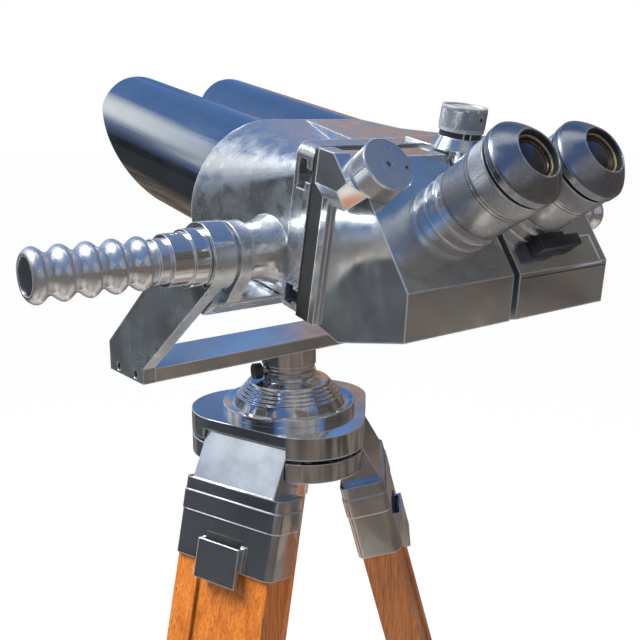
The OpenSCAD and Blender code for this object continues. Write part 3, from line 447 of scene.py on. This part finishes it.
def metal(name, colour, dark, rough, cloud=0.5, pits=0.3, lines=0.0, along="Y", scale=30.0, edge=0.0008,
        haze=0.1, specks=0.0, waves=0.0):
    paint, t, shader, where = new_paint(name)
    aligned = put(t, "Mapping", Vector=where, Rotation=ALONG[along]).outputs[0]
    patch = use(t, clouding, Vector=where, Scale=scale)
    streak = use(t, brushing, Vector=aligned)
    rim = use(t, edges, Radius=edge)
    tone = mixed(t, times(t, patch["Cloud"], cloud), (*colour, 1), (*dark, 1))
    tone = mixed(t, times(t, patch["Pits"], pits), tone, PIT_TONE)
    tone = mixed(t, times(t, streak["Bands"], lines * LINE_TONE), tone, (*dark, 1))
    tone = mixed(t, times(t, scaled(t, patch["Fine"], 0.62, 0.9), specks), tone, SPECK_TONE)
    # Painted highlight along the edges, partly wear: the edge mask mixes in a near-white tone and lowers the
    # metallic value.
    tone = mixed(t, times(t, rim["Edge"], EDGE_HIGHLIGHT_SHARE), tone, EDGE_HIGHLIGHT_TONE)
    film = times(t, patch["Cloud"], scaled(t, patch["Fine"], 0.1, 0.9, 0.4, 1.4))
    clean = scaled(t, film, 0, 1, 1.0 - haze * THIN_FILM, 1.0 - haze * THICK_FILM)
    clean = times(t, clean, scaled(t, rim["Edge"], 0, 1, 1.0, EDGE_HIGHLIGHT_METALLIC))
    spread = scaled(t, patch["Cloud"], 0, 1, rough * CLEAR_ROUGH, rough * (1.0 + cloud * CLOUDED_ROUGH))
    spread = plus(t, spread, times(t, streak["Lines"], lines * LINE_ROUGH))
    spread = plus(t, spread, times(t, patch["Pits"], pits * PIT_ROUGH))
    relief = plus(t, times(t, patch["Fine"], FINE_RELIEF), times(t, patch["Pits"], -pits))
    relief = plus(t, relief, times(t, streak["Lines"], lines))
    relief = plus(t, relief, times(t, patch["Cloud"], waves))
    bump = put(t, "Bump", Strength=RELIEF_STRENGTH, Distance=RELIEF_DEPTH, Height=relief,
        Normal=rim["Normal"])
    fill(t, shader, Base_Color=tone, Metallic=clean, Roughness=spread, Normal=bump.outputs[0])
    return paint


print("brush directions", sorted(ALONG))

# %% [markdown]
# ## Castings and machined bodies
# The front casting is the cloudiest and is pitted. The rear housings and the yoke were machined flat and then
# buffed, so they are clearer, with slow waves that bend their reflections. The yoke arms keep a ground,
# brighter strip along their lower edge.

# %% Cast and machined finishes
casting = metal("polished casting", (0.84, 0.86, 0.88), (0.47, 0.49, 0.51), 0.17,
    cloud=1.0, pits=0.4, edge=0.0014, haze=0.07, scale=70.0, specks=0.5, waves=0.4)
clear_casting = metal("clear casting", (0.82, 0.83, 0.85), (0.48, 0.50, 0.53), 0.06,
    cloud=0.7, pits=0.1, edge=0.0014, haze=0.04)
body_metal = metal("polished prism body", (0.86, 0.88, 0.89), (0.66, 0.70, 0.70), 0.08,
    cloud=1.0, pits=0.0, edge=0.0016, scale=40.0, haze=0.055, specks=0.25, waves=0.8)
arm_metal = metal("polished arm", (0.80, 0.83, 0.84), (0.62, 0.67, 0.68), 0.12,
    cloud=1.0, pits=0.05, edge=0.001, scale=26.0, haze=0.06, specks=0.25, waves=1.0)
ground_edge = metal("ground arm edge", (0.82, 0.84, 0.85), (0.50, 0.52, 0.54), 0.26,
    cloud=0.8, pits=0.2, haze=0.15)
large_finishes = (casting, clear_casting, body_metal, arm_metal, ground_edge)
print("cast and machined", [paint.name for paint in large_finishes])

# %% [markdown]
# ## Tubes, turned parts and small hardware
# The hoods are drawn tube, nearly a mirror, with fine lines along them. Turned parts have faint lines that run
# round them, the focus rings are worn, and the eyecups' colour is darkened as painted shade for the dark
# surroundings they mirror. A knurl gets no painted bright edge: its facets are so small that every one of them
# would count as an edge and turn white.

# %% Turned and small finishes
tube_metal = metal("drawn tube", (0.74, 0.78, 0.82), (0.56, 0.60, 0.64), 0.06,
    cloud=0.3, pits=0.0, lines=0.8, along="Y", haze=0.01)
bright = metal("bright turned metal", (0.88, 0.88, 0.89), (0.62, 0.62, 0.64), 0.04,
    cloud=0.5, pits=0.0, lines=0.15, along="X", haze=0.05, scale=60.0, waves=2.0)
grip_metal = metal("ribbed grip metal", (0.84, 0.85, 0.87), (0.56, 0.57, 0.60), 0.13,
    cloud=0.5, pits=0.1, lines=0.5, along="X", haze=0.1)
# The cups' colour is darkened as painted shade: it stands in for the dark surroundings that their polished
# domes mirror.
cup_metal_painted_shade = metal("polished cup darkened as painted shade", (0.38, 0.40, 0.44), (0.22, 0.24, 0.27), 0.17,
    cloud=0.6, pits=0.05, lines=0.4, along="Z", haze=0.05, scale=60.0, waves=1.5)
ring_metal = metal("worn ring metal", (0.62, 0.63, 0.64), (0.32, 0.33, 0.34), 0.17,
    cloud=1.0, pits=0.1, lines=0.5, along="Z", haze=0.06, scale=60.0, specks=0.15, waves=2.0)
knurled = metal("knurled metal", (0.54, 0.55, 0.57), (0.32, 0.33, 0.35), 0.24,
    cloud=0.8, pits=0.0, edge=0.0, haze=0.05)
satin = metal("satin turned metal", (0.70, 0.71, 0.73), (0.44, 0.45, 0.48), 0.22,
    cloud=0.6, pits=0.05, lines=0.4, along="Z", haze=0.12)
pale_satin = metal("pale satin metal", (0.74, 0.74, 0.73), (0.44, 0.44, 0.44), 0.28,
    cloud=1.0, pits=0.4, haze=0.3, scale=90.0, specks=0.3)
steel = metal("steel", (0.62, 0.62, 0.62), (0.4, 0.4, 0.4), 0.25, cloud=0.4, pits=0.1)
brass = metal("worn brass ring", (0.50, 0.36, 0.16), (0.24, 0.15, 0.06), 0.25,
    cloud=0.5, pits=0.1, haze=0.1)
small_finishes = (tube_metal, bright, grip_metal, cup_metal_painted_shade, ring_metal, knurled, satin, pale_satin, steel,
    brass)
print("turned and small", [paint.name for paint in small_finishes])

# %% [markdown]
# ## Black parts and paint
# Blackened metal, rubber and the white index marks aren't mirrors, so a simpler maker is enough: a tone that
# drifts towards a worn one, edges that are rubbed lighter, and a fine grain.

# %% Matt finishes
def plain(name, colour, worn, rough):
    paint, t, shader, where = new_paint(name)
    patch = use(t, clouding, Vector=where, Scale=40.0)
    rim = use(t, edges, Radius=0.0006)
    tone = mixed(t, times(t, patch["Cloud"], 0.5), (*colour, 1), (*worn, 1))
    tone = mixed(t, times(t, rim["Edge"], 0.5), tone, (*[min(1, 4 * c) for c in worn], 1))
    bump = put(t, "Bump", Strength=0.4, Distance=0.0001, Height=patch["Fine"], Normal=rim["Normal"])
    fill(t, shader, Base_Color=tone, Roughness=scaled(t, patch["Fine"], 0, 1, rough * 0.8, rough * 1.25),
        Normal=bump.outputs[0])
    return paint


black = plain("blackened metal", (0.018, 0.018, 0.02), (0.05, 0.05, 0.055), 0.35)
rubber = plain("black rubber", (0.022, 0.022, 0.022), (0.045, 0.043, 0.04), 0.6)
white_mark = plain("white mark", (0.80, 0.80, 0.78), (0.55, 0.54, 0.50), 0.5)
print("matt finishes", [paint.name for paint in (black, rubber, white_mark)])

# %% [markdown]
# ## Lenses
# Looked into from outside, a lens over a blackened tube is nearly black, with a clear reflection on top. Real
# glass with light passing through would only show the dark behind it, so a dark base under a full clear coat
# gives the same look for much less work.

# %% Lens glass
def lens_glass(name, colour, coat_colour):
    paint, t, shader, where = new_paint(name)
    patch = use(t, clouding, Vector=where, Scale=60.0)
    fill(t, shader, Base_Color=mixed(t, patch["Cloud"], (*colour, 1), (*coat_colour, 1)),
        Roughness=scaled(t, patch["Fine"], 0, 1, 0.02, 0.05), Coat_Weight=1.0, Coat_Roughness=0.03)
    return paint


objective_glass = lens_glass("objective glass", (0.02, 0.03, 0.05), (0.04, 0.06, 0.10))
eye_glass = lens_glass("eyepiece glass", (0.012, 0.012, 0.015), (0.03, 0.028, 0.03))
print("glasses", objective_glass.name, "and", eye_glass.name)

# %% [markdown]
# ## Varnished wood
# The legs are orange-brown wood under gloss varnish. The grain runs along each leg, so noise is stretched
# along Z: a broad one colours the grain and a fine one darkens the pores. The legs lean only a little, so one
# direction serves all three. The varnish is a clear coat over that.

# %% Wood
GRAIN_STRETCH = (1.0, 1.0, 0.06)


def wood(name, light, deep):
    paint, t, shader, where = new_paint(name)
    stretched = vectors(t, "MULTIPLY", where, GRAIN_STRETCH)
    grain = noise(t, stretched, 160.0, 5.0, 0.6, 0.4)
    pores = noise(t, stretched, 900.0, 2.0)
    middle = [(a + b) / 2 for a, b in zip(light, deep)]
    tone = ramp(t, grain, [(0.25, deep), (0.5, middle), (0.75, light)])
    tone = mixed(t, scaled(t, pores, 0.35, 0.5, 0.55, 0.0), tone, (*[c * 0.4 for c in deep], 1))
    rim = use(t, edges, Radius=0.0015)
    bump = put(t, "Bump", Strength=0.35, Distance=0.0002, Height=pores, Normal=rim["Normal"])
    fill(t, shader, Base_Color=tone, Roughness=scaled(t, grain, 0, 1, 0.35, 0.5), Coat_Weight=0.6,
        Coat_Roughness=0.12, Normal=bump.outputs[0])
    return paint


varnished = wood("varnished wood", (0.82, 0.26, 0.030), (0.44, 0.10, 0.009))
print("wood", varnished.name)

# %% [markdown]
# ## Dressing the CAD parts
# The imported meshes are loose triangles. A finish could be assigned to them as they are, but a mirror shows
# every facet. A merged copy of each can be shaded smooth across its curves and sharp at its edges, so each
# node is replaced by such a copy of itself, with its finish.

# %% Which finish goes where
FINISHES = {
    "front_casting": casting, "front_flange": casting, "seal_strip": rubber, "hood": tube_metal,
    "objective_cell": black, "objective_lens": objective_glass, "cradle": casting, "trunnion": bright,
    "grip_cap": black, "grip": grip_metal, "turret_bracket": body_metal, "turret_scale": black,
    "turret_knob": pale_satin, "rear_housing": body_metal, "filter_box": body_metal, "filter_knob": satin,
    "eyepiece_tube": bright, "focus_ring": ring_metal, "eyecup": cup_metal_painted_shade, "eye_lens": eye_glass,
    "yoke_bar": body_metal, "yoke_arm": arm_metal, "pan_hub": bright, "pan_bearing": bright,
    "tripod_head": clear_casting, "lug_caps": clear_casting, "hinge_pins": steel, "leg_top": clear_casting,
    "leg_rails": varnished, "leg_collar": casting, "leg_knob": black, "lower_leg": varnished, "shoe": steel}


def stem(node):
    for ending in ("_left", "_right", "_1", "_2", "_3"):
        node = node.removesuffix(ending)
    return node


print("kinds of part", len(FINISHES))

# %% Merged, smooth copies
WELD = 0.000002
SMOOTH_BELOW = 28


def shade_by_angle(bm, degrees):
    for face in bm.faces:
        face.smooth = True
    for edge in bm.edges:
        edge.smooth = len(edge.link_faces) == 2 and edge.calc_face_angle(0) < math.radians(degrees)


def polished_copy(node):
    source = frame["nodes"][node]
    mesh = source.data.copy()
    bm = bmesh.new()
    bm.from_mesh(mesh)
    bmesh.ops.remove_doubles(bm, verts=bm.verts, dist=WELD)
    shade_by_angle(bm, SMOOTH_BELOW)
    bm.to_mesh(mesh)
    bm.free()
    piece = bpy.data.objects.new(node + ".finish", mesh)
    scene.collection.objects.link(piece)
    mesh.materials.clear()
    mesh.materials.append(FINISHES[stem(node)])
    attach(piece, source["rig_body"])
    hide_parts(node)
    return piece


pieces = {node: polished_copy(node) for node in sorted(frame["nodes"])}
print("pieces", len(pieces), "triangles", sum(len(piece.data.polygons) for piece in pieces.values()))

# %% Ground strip on the yoke arms
LOWER_EDGE_WAY = (0, -0.63, -0.77)
SAME_WAY = 0.97

for side in ("left", "right"):
    mesh = pieces["yoke_arm_" + side].data
    mesh.materials.append(ground_edge)
    for face in mesh.polygons:
        face.material_index = int(face.normal.dot(LOWER_EDGE_WAY) > SAME_WAY)
    print(side, "arm, ground faces", sum(face.material_index for face in mesh.polygons))

# %% [markdown]
# ## Frames for the small parts
# The small parts are drawn lying at the origin and then set in place by a frame. There is one for the optics,
# pitched about the trunnions, one on each eyepiece's and each filter knob's axis, one on the spacing knob's,
# and one on each leg. So a part is drawn in the directions that a maker would use for it.

# %% Frames
OPTICS = Matrix.Translation((0, -0.117, 0.2433)) @ Matrix.Rotation(PITCH, 4, "X")
SLOPE_TILT = Matrix.Rotation(math.radians(45), 4, "X")
LEG_LEAN = Matrix.Rotation(math.radians(-15), 4, "Y")
LEG_BEARINGS = (198, -42, 78)
LEG_HINGE = (0.053, 0, 0.0523)
TURRET_Y = -0.066
SIDES = {"left": -1, "right": 1}


def moved(x, y, z):
    return Matrix.Translation((x, y, z))


def turned_to(degrees):
    return Matrix.Rotation(math.radians(degrees), 4, "Z")


def at_eyepiece(side):
    return OPTICS @ moved(0.0325 * SIDES[side], -0.10444, 0.04971) @ SLOPE_TILT


def at_filter_knob(side):
    return OPTICS @ moved(0.089 * SIDES[side], -0.0823, 0.07184) @ SLOPE_TILT


def at_turret(z, degrees=0):
    return OPTICS @ moved(0, TURRET_Y, z) @ turned_to(degrees)


def at_leg(number):
    return turned_to(LEG_BEARINGS[number - 1]) @ moved(*LEG_HINGE) @ LEG_LEAN


print("optics' frame at", [round(v, 4) for v in OPTICS.translation])

# %% [markdown]
# ## Makers for the small parts
# Most small parts on an instrument are turned, milled or bought screws. A turned part is one profile spun
# about Z, a milled one is a block with bevelled edges, and a socket screw is a spun head with a hexagon sunk
# in it. Each is welded, set in place and made to ride on the body that carries it.

# %% Settle a piece
small_pieces = []


def settle(name, bm, place, paint, body, smooth_below=30):
    bmesh.ops.remove_doubles(bm, verts=bm.verts, dist=WELD)
    bmesh.ops.recalc_face_normals(bm, faces=bm.faces)
    bmesh.ops.transform(bm, matrix=place, verts=bm.verts)
    shade_by_angle(bm, smooth_below)
    mesh = bpy.data.meshes.new(name)
    bm.to_mesh(mesh)
    bm.free()
    mesh.materials.append(paint)
    piece = bpy.data.objects.new(name, mesh)
    scene.collection.objects.link(piece)
    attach(piece, body)
    small_pieces.append(name)


print("small pieces", len(small_pieces))

# %% Turned parts, blocks and screws
CHAMFER = 0.15
SOCKET_DEPTH = 0.7


def turned(profile, steps=64):
    bm = bmesh.new()
    points = [bm.verts.new((radius, 0, height)) for radius, height in profile]
    for first, second in zip(points, points[1:]):
        bm.edges.new((first, second))
    bmesh.ops.spin(bm, geom=bm.verts[:] + bm.edges[:], cent=(0, 0, 0), axis=(0, 0, 1), angle=math.tau,
        steps=steps, use_merge=True)
    bmesh.ops.remove_doubles(bm, verts=bm.verts, dist=WELD)
    return bm


def bar_block(size, bevel):
    bm = bmesh.new()
    bmesh.ops.create_cube(bm, size=1.0)
    bmesh.ops.scale(bm, vec=size, verts=bm.verts)
    bmesh.ops.bevel(bm, geom=bm.edges[:], offset=bevel, segments=2, profile=0.5, affect="EDGES", material=-1)
    return bm


def socket_screw(radius, height, socket):
    bm = turned([(0, 0), (radius, 0), (radius, height - radius * CHAMFER), (radius * (1 - CHAMFER), height),
        (socket * 1.12, height)], 24)
    hexagon = bmesh.ops.create_circle(bm, segments=6, radius=socket, matrix=moved(0, 0, height))["verts"]
    sides = [edge for edge in bm.edges if all(corner in hexagon for corner in edge.verts)]
    bmesh.ops.subdivide_edges(bm, edges=sides, cuts=3)
    bmesh.ops.bridge_loops(bm, edges=[edge for edge in bm.edges if edge.is_boundary or edge.is_wire])
    rim = [edge for edge in bm.edges if edge.is_boundary]
    lowered = bmesh.ops.extrude_edge_only(bm, edges=rim)["geom"]
    bottom = [part for part in lowered if isinstance(part, bmesh.types.BMVert)]
    bmesh.ops.translate(bm, vec=(0, 0, -height * SOCKET_DEPTH), verts=bottom)
    bmesh.ops.contextual_create(bm, geom=bottom)
    return bm


print("makers:", turned.__name__, bar_block.__name__, socket_screw.__name__)

# %% [markdown]
# ## Knurled grips
# The filter knobs, the focus rings and the spacing knob have a fine diamond knurl for the fingers. A bump map
# would look flat at the rim, so it is real relief. A flat grid is turned by 45 degrees and cut to a strip as
# long as the rim, each small square is raised to a pyramid, and the strip is rolled up and welded.

# %% Diamond knurl
KNURL_SMOOTH = 5
NEARLY = 0.05


def knurled_sleeve(radius, low, high, around, depth):
    length = math.tau * radius
    width = high - low
    side = length / around / math.sqrt(2)
    count = 2 * math.ceil((length + high - low) / side / 2 + 1)
    bm = bmesh.new()
    bmesh.ops.create_grid(bm, x_segments=count, y_segments=count, size=count * side / 2)
    bmesh.ops.rotate(bm, cent=(0, 0, 0), matrix=turned_to(45).to_3x3(), verts=bm.verts)
    for way, reach in (((-1, 0, 0), length), ((1, 0, 0), length), ((0, -1, 0), width), ((0, 1, 0), width)):
        bmesh.ops.bisect_plane(bm, geom=bm.verts[:] + bm.edges[:] + bm.faces[:],
            plane_co=Vector(way) * reach / 2, plane_no=way, clear_outer=True)
    square = side * side
    whole = [face for face in bm.faces
        if len(face.verts) == 4 and abs(face.calc_area() - square) < square * NEARLY]
    bmesh.ops.poke(bm, faces=whole, offset=depth)
    for vert in bm.verts:
        angle, out = vert.co.x / radius, radius + vert.co.z
        vert.co = (out * math.cos(angle), out * math.sin(angle), (high + low) / 2 + vert.co.y)
    return bm


print("knurl facets stay sharp above", KNURL_SMOOTH, "degrees")

# %% [markdown]
# ## Filter knobs
# Each filter knob has a bright rim round its flat face, a countersunk screw in the middle and a small peg
# beside it, and a gap parts the knob from its box; a thin black ring in the gap paints its shade. These could
# be cut into the knob's copy, but thin turned rings keep its mesh as it is and let each have its own finish.
# The painted gap shade rides on the housing, and all the rest turns with the knob.

# %% Filter knob details
for side in SIDES:
    place, body = at_filter_knob(side), f"filter_{side}"
    sleeve = knurled_sleeve(0.01795, 0.0012, 0.0148, 68, 0.00040)
    settle(f"knurl_{side}", sleeve, place, knurled, body, KNURL_SMOOTH)
    edge_ring = turned([(0.0180, 0.0146), (0.0184, 0.0149), (0.0184, 0.0155), (0.0178, 0.01615),
        (0.0174, 0.01615)])
    settle(f"knob_rim_{side}", edge_ring, place, bright, body)
    centre = socket_screw(0.00195, 0.003, 0.0009)
    settle(f"knob_screw_{side}", centre, place @ moved(0, 0, 0.0112), steel, body)
    seat = turned([(0.0019, 0.0160), (0.0021, 0.01608), (0.0027, 0.01606)], 32)
    settle(f"knob_countersink_{side}", seat, place, bright, body)
    peg = turned([(0, 0), (0.0008, 0), (0.0010, 0.0002), (0.0013, 0.0002)], 24)
    settle(f"knob_peg_{side}", peg, place @ moved(0.0135, -0.003, 0.01602), black, body)
    # A thin black ring in the gap paints the shade between the knob and its box.
    shadow_ring = turned([(0.0165, 0.0002), (0.0174, 0.0002), (0.0174, 0.0011), (0.0165, 0.0011)])
    settle(f"knob_gap_painted_shade_{side}", shadow_ring, place, black, f"half_{side}")
print("small pieces", len(small_pieces))

# %% [markdown]
# ## Eyepieces
# Behind each eyecup's rim is a blackened bore with a thin brass-coloured retaining ring and the bulged eye
# lens. The cup's black skirt shows in the gap above the focus ring, which has a black front, a knurled band
# and dark grooves. The tube has a fine bead and stands on a low round foot. All of them are round, so all are
# profiles turned about the eyepiece's axis, and each rides on what moves it: the cup, the ring or the half.

# %% Eyecup, lens and ring
def dress_cup(side, place):
    cup, ring = f"cup_{side}", f"focus_{side}"
    liner = turned([(0.01595, 0.0759), (0.0156, 0.0759), (0.0149, 0.0722), (0.0149, 0.0696)])
    settle(f"eyecup_liner_{side}", liner, place, black, cup)
    retainer = turned([(0.0149, 0.0724), (0.0144, 0.0728), (0.0138, 0.0724), (0.0134, 0.0712),
        (0.0134, 0.0696)])
    settle(f"lens_retainer_{side}", retainer, place, brass, cup)
    bulge = turned([(0.0134, 0.0696), (0.0134, 0.0702), (0.0118, 0.0713), (0.0095, 0.0723), (0.0066, 0.0731),
        (0.0034, 0.0735), (0, 0.0736)])
    settle(f"lens_bulge_{side}", bulge, place, eye_glass, cup, 60)
    front = turned([(0.0222, 0.05752), (0.0273, 0.05752), (0.0273, 0.05795), (0.0222, 0.05795),
        (0.0222, 0.05752)])
    settle(f"ring_front_{side}", front, place, black, ring)
    skirt = turned([(0.0182, 0.0540), (0.0182, 0.0599)])
    settle(f"skirt_sleeve_{side}", skirt, place, black, cup)
    grip_band = knurled_sleeve(0.02752, 0.0445, 0.0565, 130, 0.00022)
    settle(f"ring_knurl_{side}", grip_band, place, knurled, ring, KNURL_SMOOTH)


print("cup dresser ready")

# %% Tube and grooves
GROOVES = (0.0186, 0.0410, 0.0435)
RING_FOOT, RING_LENGTH = 0.0165, 0.03075


def dress_tube(side, place):
    bead = turned([(0.0266, 0.0086), (0.0270, 0.0089), (0.0272, 0.0097), (0.0270, 0.0105), (0.0266, 0.0109)])
    settle(f"tube_bead_{side}", bead, place, bright, f"half_{side}")
    foot = turned([(0.0256, 0.0001), (0.0268, 0.0001), (0.0268, 0.0009), (0.0262, 0.0015), (0.0256, 0.0018)])
    settle(f"tube_foot_{side}", foot, place, body_metal, f"half_{side}")
    for count, k in enumerate(GROOVES):
        wall = 0.0265 + min(1.0, (k - RING_FOOT) / RING_LENGTH) * 0.001
        groove = turned([(wall - 0.0003, k - 0.00035), (wall + 0.00004, k - 0.0003), (wall + 0.00006, k),
            (wall + 0.00004, k + 0.0003), (wall - 0.0003, k + 0.00035)], 96)
        settle(f"ring_line_{side}_{count}", groove, place, black, f"focus_{side}")


for side in SIDES:
    dress_cup(side, at_eyepiece(side))
    dress_tube(side, at_eyepiece(side))
print("small pieces", len(small_pieces))

# %% [markdown]
# ## Screws
# Two socket-head screws hold each yoke arm to the bar, a pinch screw closes its eye on the trunnion, and a set
# screw in a bright countersink locks each handle. They are small, but their dark hexagons are what shows that
# the yoke is bolted together and not cast in one.

# %% Screws of the yoke and the handles
for side, sign in SIDES.items():
    screw_way = (sign, 0, 0)
    for number, y in enumerate((-0.0155, 0.0132)):
        screw = socket_screw(0.0035, 0.0033, 0.0017)
        settle(f"arm_screw_{side}_{number}", screw, aimed((sign * 0.1564, y, 0.1379), screw_way), black,
            "yoke")
    pinch = socket_screw(0.0021, 0.003, 0.0011)
    settle(f"eye_screw_{side}", pinch, aimed((sign * 0.1554, -0.125, 0.2253), screw_way), black, "yoke")
    lock = socket_screw(0.0019, 0.003, 0.001)
    settle(f"handle_screw_{side}", lock, OPTICS @ moved(sign * 0.1797, 0, 0.0128), steel, "optics")
    seat = turned([(0.0019, 0.01765), (0.0021, 0.01785), (0.0026, 0.01775), (0.0026, 0.0174)], 24)
    settle(f"handle_screw_seat_{side}", seat, OPTICS @ moved(sign * 0.1797, 0, 0), bright, "optics")
print("small pieces", len(small_pieces))

# %% [markdown]
# ## Spacing knob
# The knob that sets the eyepieces' distance stands over a black scale with two white index lines. Painted
# lines could be a mask in the material, but two thin blocks stay sharp from near by. They stay on the bracket
# while the knob turns over them with its knurl and its set screw.

# %% Index lines, knurl and set screw
for number, degrees in enumerate((-128.1, -109.1)):
    mark = bar_block((0.0005, 0.0009, 0.0033), 0.0001)
    settle(f"index_line_{number}", mark, at_turret(0.09435, degrees) @ moved(0.01455, 0, 0), white_mark,
        "optics")
turret_body = frame["nodes"]["turret_knob"]["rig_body"]
turret_knurl = knurled_sleeve(0.01560, 0.0985, 0.1115, 72, 0.00025)
settle("turret_knurl", turret_knurl, at_turret(0), knurled, turret_body, KNURL_SMOOTH)
socket = turned([(0, 0.0001), (0.0011, 0.0001), (0.0014, 0)], 24)
into_rim = moved(0.0159, 0, 0) @ Matrix.Rotation(math.radians(90), 4, "Y")
settle("turret_set_screw", socket, at_turret(0.1064, -88.5) @ into_rim, black, turret_body)
print("small pieces", len(small_pieces))

# %% [markdown]
# ## Far half
# The right half carries a small lever block under its eyepiece, a thin outline where a plate once sat on the
# sloped face, and a seam just under that face's lower edge. Thin raised strips stand for the outline, because
# they catch the light from every side as the real scribed lines do.

# %% Lever block, outline and seam
OUTLINE = ((0.030, -0.048), (0.060, -0.048), (0.060, -0.026), (0.036, -0.026))
STRIP_WIDTH = 0.001

place = at_eyepiece("right")
lever = bar_block((0.027, 0.012, 0.012), 0.0012)
settle("lever_block", lever, place @ moved(0.003, -0.0305, 0.0061), black, "half_right")
arm = bar_block((0.024, 0.009, 0.009), 0.001)
settle("lever_arm", arm, place @ moved(0.024, -0.0305, 0.0046), black, "half_right")
for number, (start, end) in enumerate(zip(OUTLINE, OUTLINE[1:])):
    middle = [(a + b) / 2 for a, b in zip(start, end)]
    strip = bar_block((*[abs(b - a) + STRIP_WIDTH for a, b in zip(start, end)], 0.0005), 0.00015)
    settle(f"plate_outline_{number}", strip, place @ moved(*middle, 0.0002), pale_satin, "half_right")
seam = bar_block((0.0935, 0.0006, 0.0009), 0.0001)
settle("slope_seam", seam, OPTICS @ moved(0.0516, -0.13795, 0.0133), black, "half_right")
print("small pieces", len(small_pieces))

# %% [markdown]
# ## Pan lock and leg trim
# A small black knob behind the bearing's neck locks the pan. Each leg's casting has two bright lines across
# its front and a hook plate with a recess and a slot, whose dark insides are painted shade. They could be cut
# with booleans, which are slow and leave ragged meshes, so thin bevelled blocks are set into the casting's face
# instead.

# %% Pan lock knob
LOCK_WAY = (-1, 0.3, 0)
LOCK_Z = 0.1105

lock_stem = turned([(0, -0.006), (0.0034, -0.006), (0.0034, 0.005), (0, 0.005)], 24)
settle("pan_lock_stem", lock_stem, aimed((-0.021, 0.0062, LOCK_Z), LOCK_WAY), steel, "stand")
lock_knob = turned([(0, 0), (0.0066, 0), (0.0072, 0.0006), (0.0072, 0.0074), (0.0064, 0.0082),
    (0.0030, 0.0082), (0.0026, 0.0076), (0, 0.0076)], 32)
settle("pan_lock_knob", lock_knob, aimed((-0.0255, 0.0075, LOCK_Z), LOCK_WAY), black, "stand")
print("small pieces", len(small_pieces))

# %% Lines and hooks on the leg castings
for leg in (1, 2, 3):
    place, body = at_leg(leg), f"leg_{leg}"
    for number, z in enumerate((-0.0470, -0.0640)):
        line = bar_block((0.0006, 0.088, 0.0008), 0.0002)
        settle(f"leg_line_{leg}_{number}", line, place @ moved(0.0258, 0, z), pale_satin, body)
    # Painted shade: a black block stands for the dark inside of the hook plate, and a black rubber strip for
    # the slot's shade.
    hook_shade_block = bar_block((0.0038, 0.0378, 0.0270), 0.0004)
    settle(f"hook_painted_shade_{leg}", hook_shade_block, place @ moved(0.0270, 0, -0.0991), black, body)
    slot_shade_strip = bar_block((0.0006, 0.0378, 0.0070), 0.0002)
    settle(f"hook_slot_painted_shade_{leg}", slot_shade_strip, place @ moved(0.0252, 0, -0.0805), rubber, body)
print("small pieces", len(small_pieces))

# %% Update the scene
bpy.context.view_layer.update()
